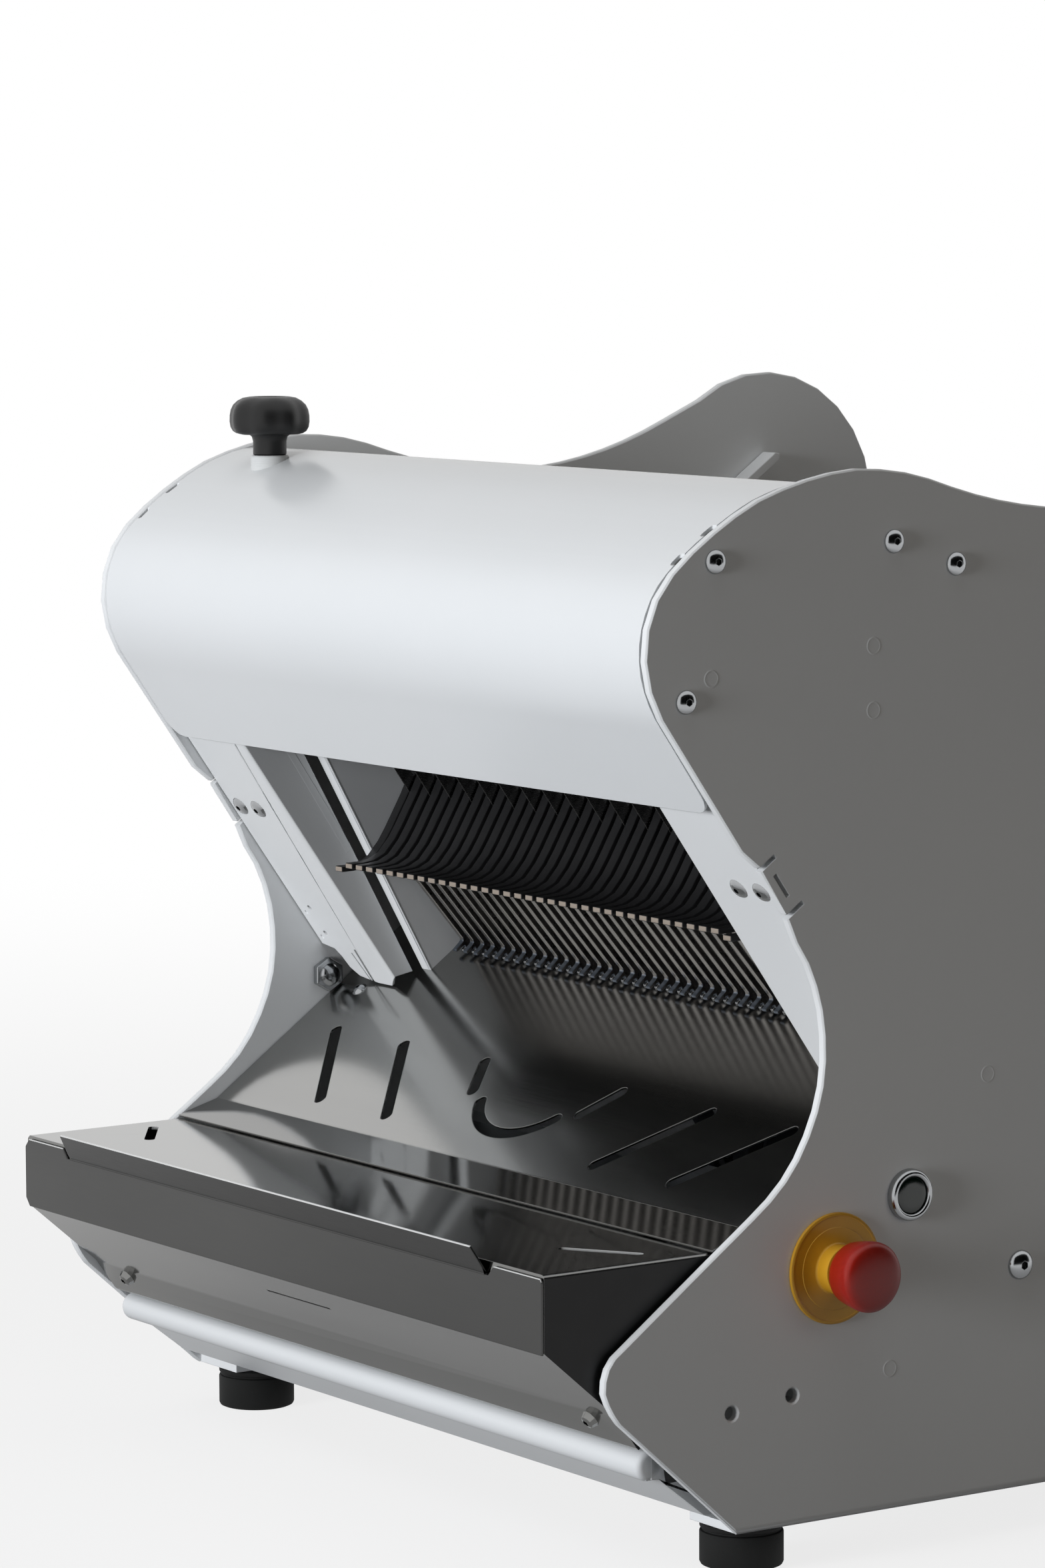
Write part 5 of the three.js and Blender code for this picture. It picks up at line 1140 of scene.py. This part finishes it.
class SLICER_OT_hex_bolts(bpy.types.Operator):
    """Hexagon bolts under the guards: a chamfered head with a domed end"""
    bl_idname = "slicer.hex_bolts"
    bl_label = "Hexagon bolts"

    def execute(self, context):
        for side, sign in SIDES:
            node = f"hex_bolt_{side}"
            seat = middle_of(node)
            seat.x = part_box(node)[sign > 0][0]
            head = soften(rod(6, *HEXAGON, (0, 0, HEXAGON[1] / 2 * MM)), 1, segments=3)
            bolt = joined(f"{node}_head", [head, turned("dome", DOME, 32)])
            settle(dressed(bolt, chrome_plate), facing((-sign, 0, 0), seat))
            stand_in(bolt, node)
        return {"FINISHED"}


class SLICER_OT_screws(bpy.types.Operator):
    """Button-head screws with hexagon sockets, one model for each group"""
    bl_idname = "slicer.screws"
    bl_label = "Screws"

    def execute(self, context):
        outward = Vector((1, 0, 0))
        panel, guard = ([[f"{kind}_screw_{side}_{i}" for i in range(1, count + 1)]
                         for side, _ in SIDES] for kind, count in (("panel", 4), ("guard", 2)))
        for (radius, height), direction, nodes in (
                (SMALL_HEAD, outward, panel[0]), (SMALL_HEAD, -outward, panel[1]),
                (SMALL_HEAD, -ALONG, guard[0] + guard[1]),
                (LARGE_HEAD, outward, ["frame_screw_right"])):
            seats = [facing(direction, middle_of(node) - direction * height * MM / 2)
                     for node in nodes]
            heads = copies(button_head(radius, height), [f"{node}_head" for node in nodes], seats)
            for node, head in zip(nodes, heads):
                stand_in(head, node)
        return {"FINISHED"}


class SLICER_OT_feet(bpy.types.Operator):
    """Rubber feet with a groove under their top"""
    bl_idname = "slicer.feet"
    bl_label = "Feet"

    def execute(self, context):
        foot = dressed(turned("foot", FOOT, 56), moulded_rubber)
        nodes = [f"foot_{number}" for number in range(1, 5)]
        made = copies(foot, "rubber_foot", [Matrix.Translation(base_of(node)) for node in nodes])
        for node, piece in zip(nodes, made):
            stand_in(piece, node)
        return {"FINISHED"}


class SLICER_OT_finishes(bpy.types.Operator):
    """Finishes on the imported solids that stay"""
    bl_idname = "slicer.finishes"
    bl_label = "Finishes"

    def execute(self, context):
        for build, nodes in (
                (powder_coated_steel, "rear_cover"),
                (brushed_stainless, "loading_bed"),
                (dark_nylon, "frame_guide_right frame_guide_left cable_gland"),
                (ground_steel, "blade_frame_front blade_frame_rear drive_shaft"),
                (moulded_rubber, "drive_belt"),
                (blackened_casting,
                 "motor rod_front rod_rear bearing_bridge driven_pulley motor_pulley"),
                (zinc_plated_steel,
                 "pusher_carriage drive_deck cross_beam_lower cross_beam_upper cross_beam_front")):
            for node in nodes.split():
                for slot in NODES[node].material_slots:
                    slot.material = finish(build)
        return {"FINISHED"}


class SLICER_OT_studio(bpy.types.Operator):
    """Pale floor, soft lamps, a dark cloth for the reflections, a plain world and the camera"""
    bl_idname = "slicer.studio"
    bl_label = "Studio"

    def execute(self, context):
        clear()
        bpy.ops.mesh.primitive_plane_add(size=24)
        floor = bpy.context.object
        floor.name = "studio_floor"
        settle(floor)
        dressed(floor, studio_floor)
        for name, (place, aim, size, power, tint) in LAMPS.items():
            clear()
            bpy.ops.object.light_add(type="AREA", location=place)
            lamp = bpy.context.object
            lamp.name = name
            way = Vector(aim) - Vector(place)
            lamp.rotation_euler = way.to_track_quat("-Z", "Y").to_euler()
            lamp.data.shape = "DISK"
            lamp.data.size = size
            lamp.data.energy = power
            lamp.data.color = linear(tint)
            lamp.visible_glossy = False
        clear()
        bpy.ops.mesh.primitive_plane_add(size=1, location=CURTAIN_AT, rotation=(0, QUARTER, 0))
        curtain = bpy.context.object
        curtain.name = "studio_curtain"
        curtain.scale = CURTAIN_SIZE
        settle(curtain)
        dressed(curtain, dark_curtain)
        curtain.visible_camera = False
        curtain.visible_diffuse = False
        curtain.visible_shadow = False
        self.world(context.scene)
        self.camera(context.scene)
        return {"FINISHED"}

    def world(self, scene):
        """A plain world: white where it is seen, and a faint warm light on the object."""
        world = bpy.data.worlds.new("studio_world")
        world.use_nodes = True
        tree = world.node_tree
        tree.nodes.clear()
        ambient = add(tree, "ShaderNodeBackground", {
            "Color": (*linear("#FFFAF0"), 1), "Strength": 0.06})
        white = add(tree, "ShaderNodeBackground", {"Color": (1, 1, 1, 1), "Strength": 1})
        mix = mixed(tree, straight_rays(tree), ambient, white)
        add(tree, "ShaderNodeOutputWorld", {"Surface": mix.outputs[0]})
        scene.world = world
        scene.view_settings.view_transform = "Standard"

    def camera(self, scene):
        """The camera stands at the right front, a little above the machine."""
        azimuth, height, roll = (math.radians(turn) for turn in CAMERA_TURN)
        level = math.cos(height)
        back = Vector((math.sin(azimuth) * level, -math.cos(azimuth) * level, math.sin(height)))
        right = Vector((0, 0, 1)).cross(back).normalized()
        up = back.cross(right)
        tilted = right * math.cos(roll) + up * math.sin(roll)
        upright = up * math.cos(roll) - right * math.sin(roll)
        clear()
        bpy.ops.object.camera_add()
        camera = bpy.context.object
        camera.name = "studio_camera"
        turn = Matrix((tilted, upright, back)).transposed().to_4x4()
        camera.matrix_world = Matrix.Translation(at(*CAMERA_AT)) @ turn
        camera.data.sensor_fit = "VERTICAL"
        camera.data.sensor_height = 36
        camera.data.lens = sizes().lens
        camera.data.clip_end = 60
        scene.camera = camera


def straight_rays(tree):
    """1 for what the camera sees, straight or by reflection, and 0 for what lights the object."""
    path = add(tree, "ShaderNodeLightPath").outputs
    first = add(tree, "ShaderNodeMath", {
        0: path["Is Camera Ray"], 1: path["Is Glossy Ray"]}, operation="MAXIMUM")
    return add(tree, "ShaderNodeMath", {
        0: first.outputs[0], 1: path["Is Transmission Ray"]}, operation="MAXIMUM").outputs[0]


def mixed(tree, fac, first, second):
    """Two shaders by a factor."""
    return add(tree, "ShaderNodeMixShader", {
        "Fac": fac, 1: first.outputs[0], 2: second.outputs[0]})


def studio_floor(tree):
    """Matt pale floor with a soft shadow near the machine, that fades into the white behind it; in
    reflections the shadow is painted.
    """
    place = add(tree, "ShaderNodeTexCoord").outputs["Object"]
    away = add(tree, "ShaderNodeVectorMath", {0: place}, operation="LENGTH").outputs["Value"]
    fade, near = (add(tree, "ShaderNodeMapRange", {
        "Value": away, "From Min": start, "From Max": end, "To Min": least, "To Max": 1},
        interpolation_type="SMOOTHSTEP").outputs[0]
        for start, end, least in ((0.5, 3.2, 0.8), (0.25, 1.1, 0.4)))
    # In reflections the floor's glow is dimmed close to the machine: a painted shadow where its own
    # shadow lies
    path = add(tree, "ShaderNodeLightPath").outputs["Is Glossy Ray"]
    level = add(tree, "ShaderNodeMix", {"Factor": path, 2: 1.0, 3: near}, data_type="FLOAT")
    matt = add(tree, "ShaderNodeBsdfDiffuse", {"Color": (*linear("#F6F7F8"), 1)})
    glow = add(tree, "ShaderNodeEmission", {
        "Color": (1, 1, 1, 1), "Strength": level.outputs[0]})
    dull = add(tree, "ShaderNodeBsdfDiffuse", {"Color": (*linear("#6A6C6E"), 1)})
    return mixed(tree, straight_rays(tree), dull, mixed(tree, fade, matt, glow))


def dark_curtain(tree):
    """Black cloth at the machine's right, seen only in reflections."""
    return add(tree, "ShaderNodeBsdfDiffuse", {
        "Color": tinted(tree, grain(tree, 3), "#141414", "#1D1D1C")})


OPERATORS = (
    SLICER_OT_finishes, SLICER_OT_side_panels, SLICER_OT_hood, SLICER_OT_sheets,
    SLICER_OT_channel, SLICER_OT_chute, SLICER_OT_crumb_tray, SLICER_OT_outfeed_comb,
    SLICER_OT_pusher, SLICER_OT_controls, SLICER_OT_knob, SLICER_OT_screws,
    SLICER_OT_hex_bolts, SLICER_OT_feet, SLICER_OT_studio)


class SLICER_PT_pieces(bpy.types.Panel):
    """Lists the pieces of the slicer"""
    bl_idname = "SLICER_PT_pieces"
    bl_label = "Slicer"
    bl_space_type = "VIEW_3D"
    bl_region_type = "UI"
    bl_category = "Slicer"

    def draw(self, context):
        for group in (context.scene.slicer_sizes, context.scene.slicer_colours):
            box = self.layout.box()
            for key in group.__annotations__:
                box.prop(group, key)
        for operator in OPERATORS:
            self.layout.operator(operator.bl_idname)


CLASSES = (SlicerSizes, SlicerColours, *OPERATORS, SLICER_PT_pieces)


def register():
    for each in CLASSES:
        bpy.utils.register_class(each)
    bpy.types.Scene.slicer_sizes = bpy.props.PointerProperty(type=SlicerSizes)
    bpy.types.Scene.slicer_colours = bpy.props.PointerProperty(type=SlicerColours)


def unregister():
    del bpy.types.Scene.slicer_colours
    del bpy.types.Scene.slicer_sizes
    for each in reversed(CLASSES):
        bpy.utils.unregister_class(each)


def main():
    """Makes every piece in turn."""
    register()
    for operator in OPERATORS:
        name = operator.bl_idname.split(".")[1]
        getattr(bpy.ops.slicer, name)()


if __name__ == "__main__":
    main()
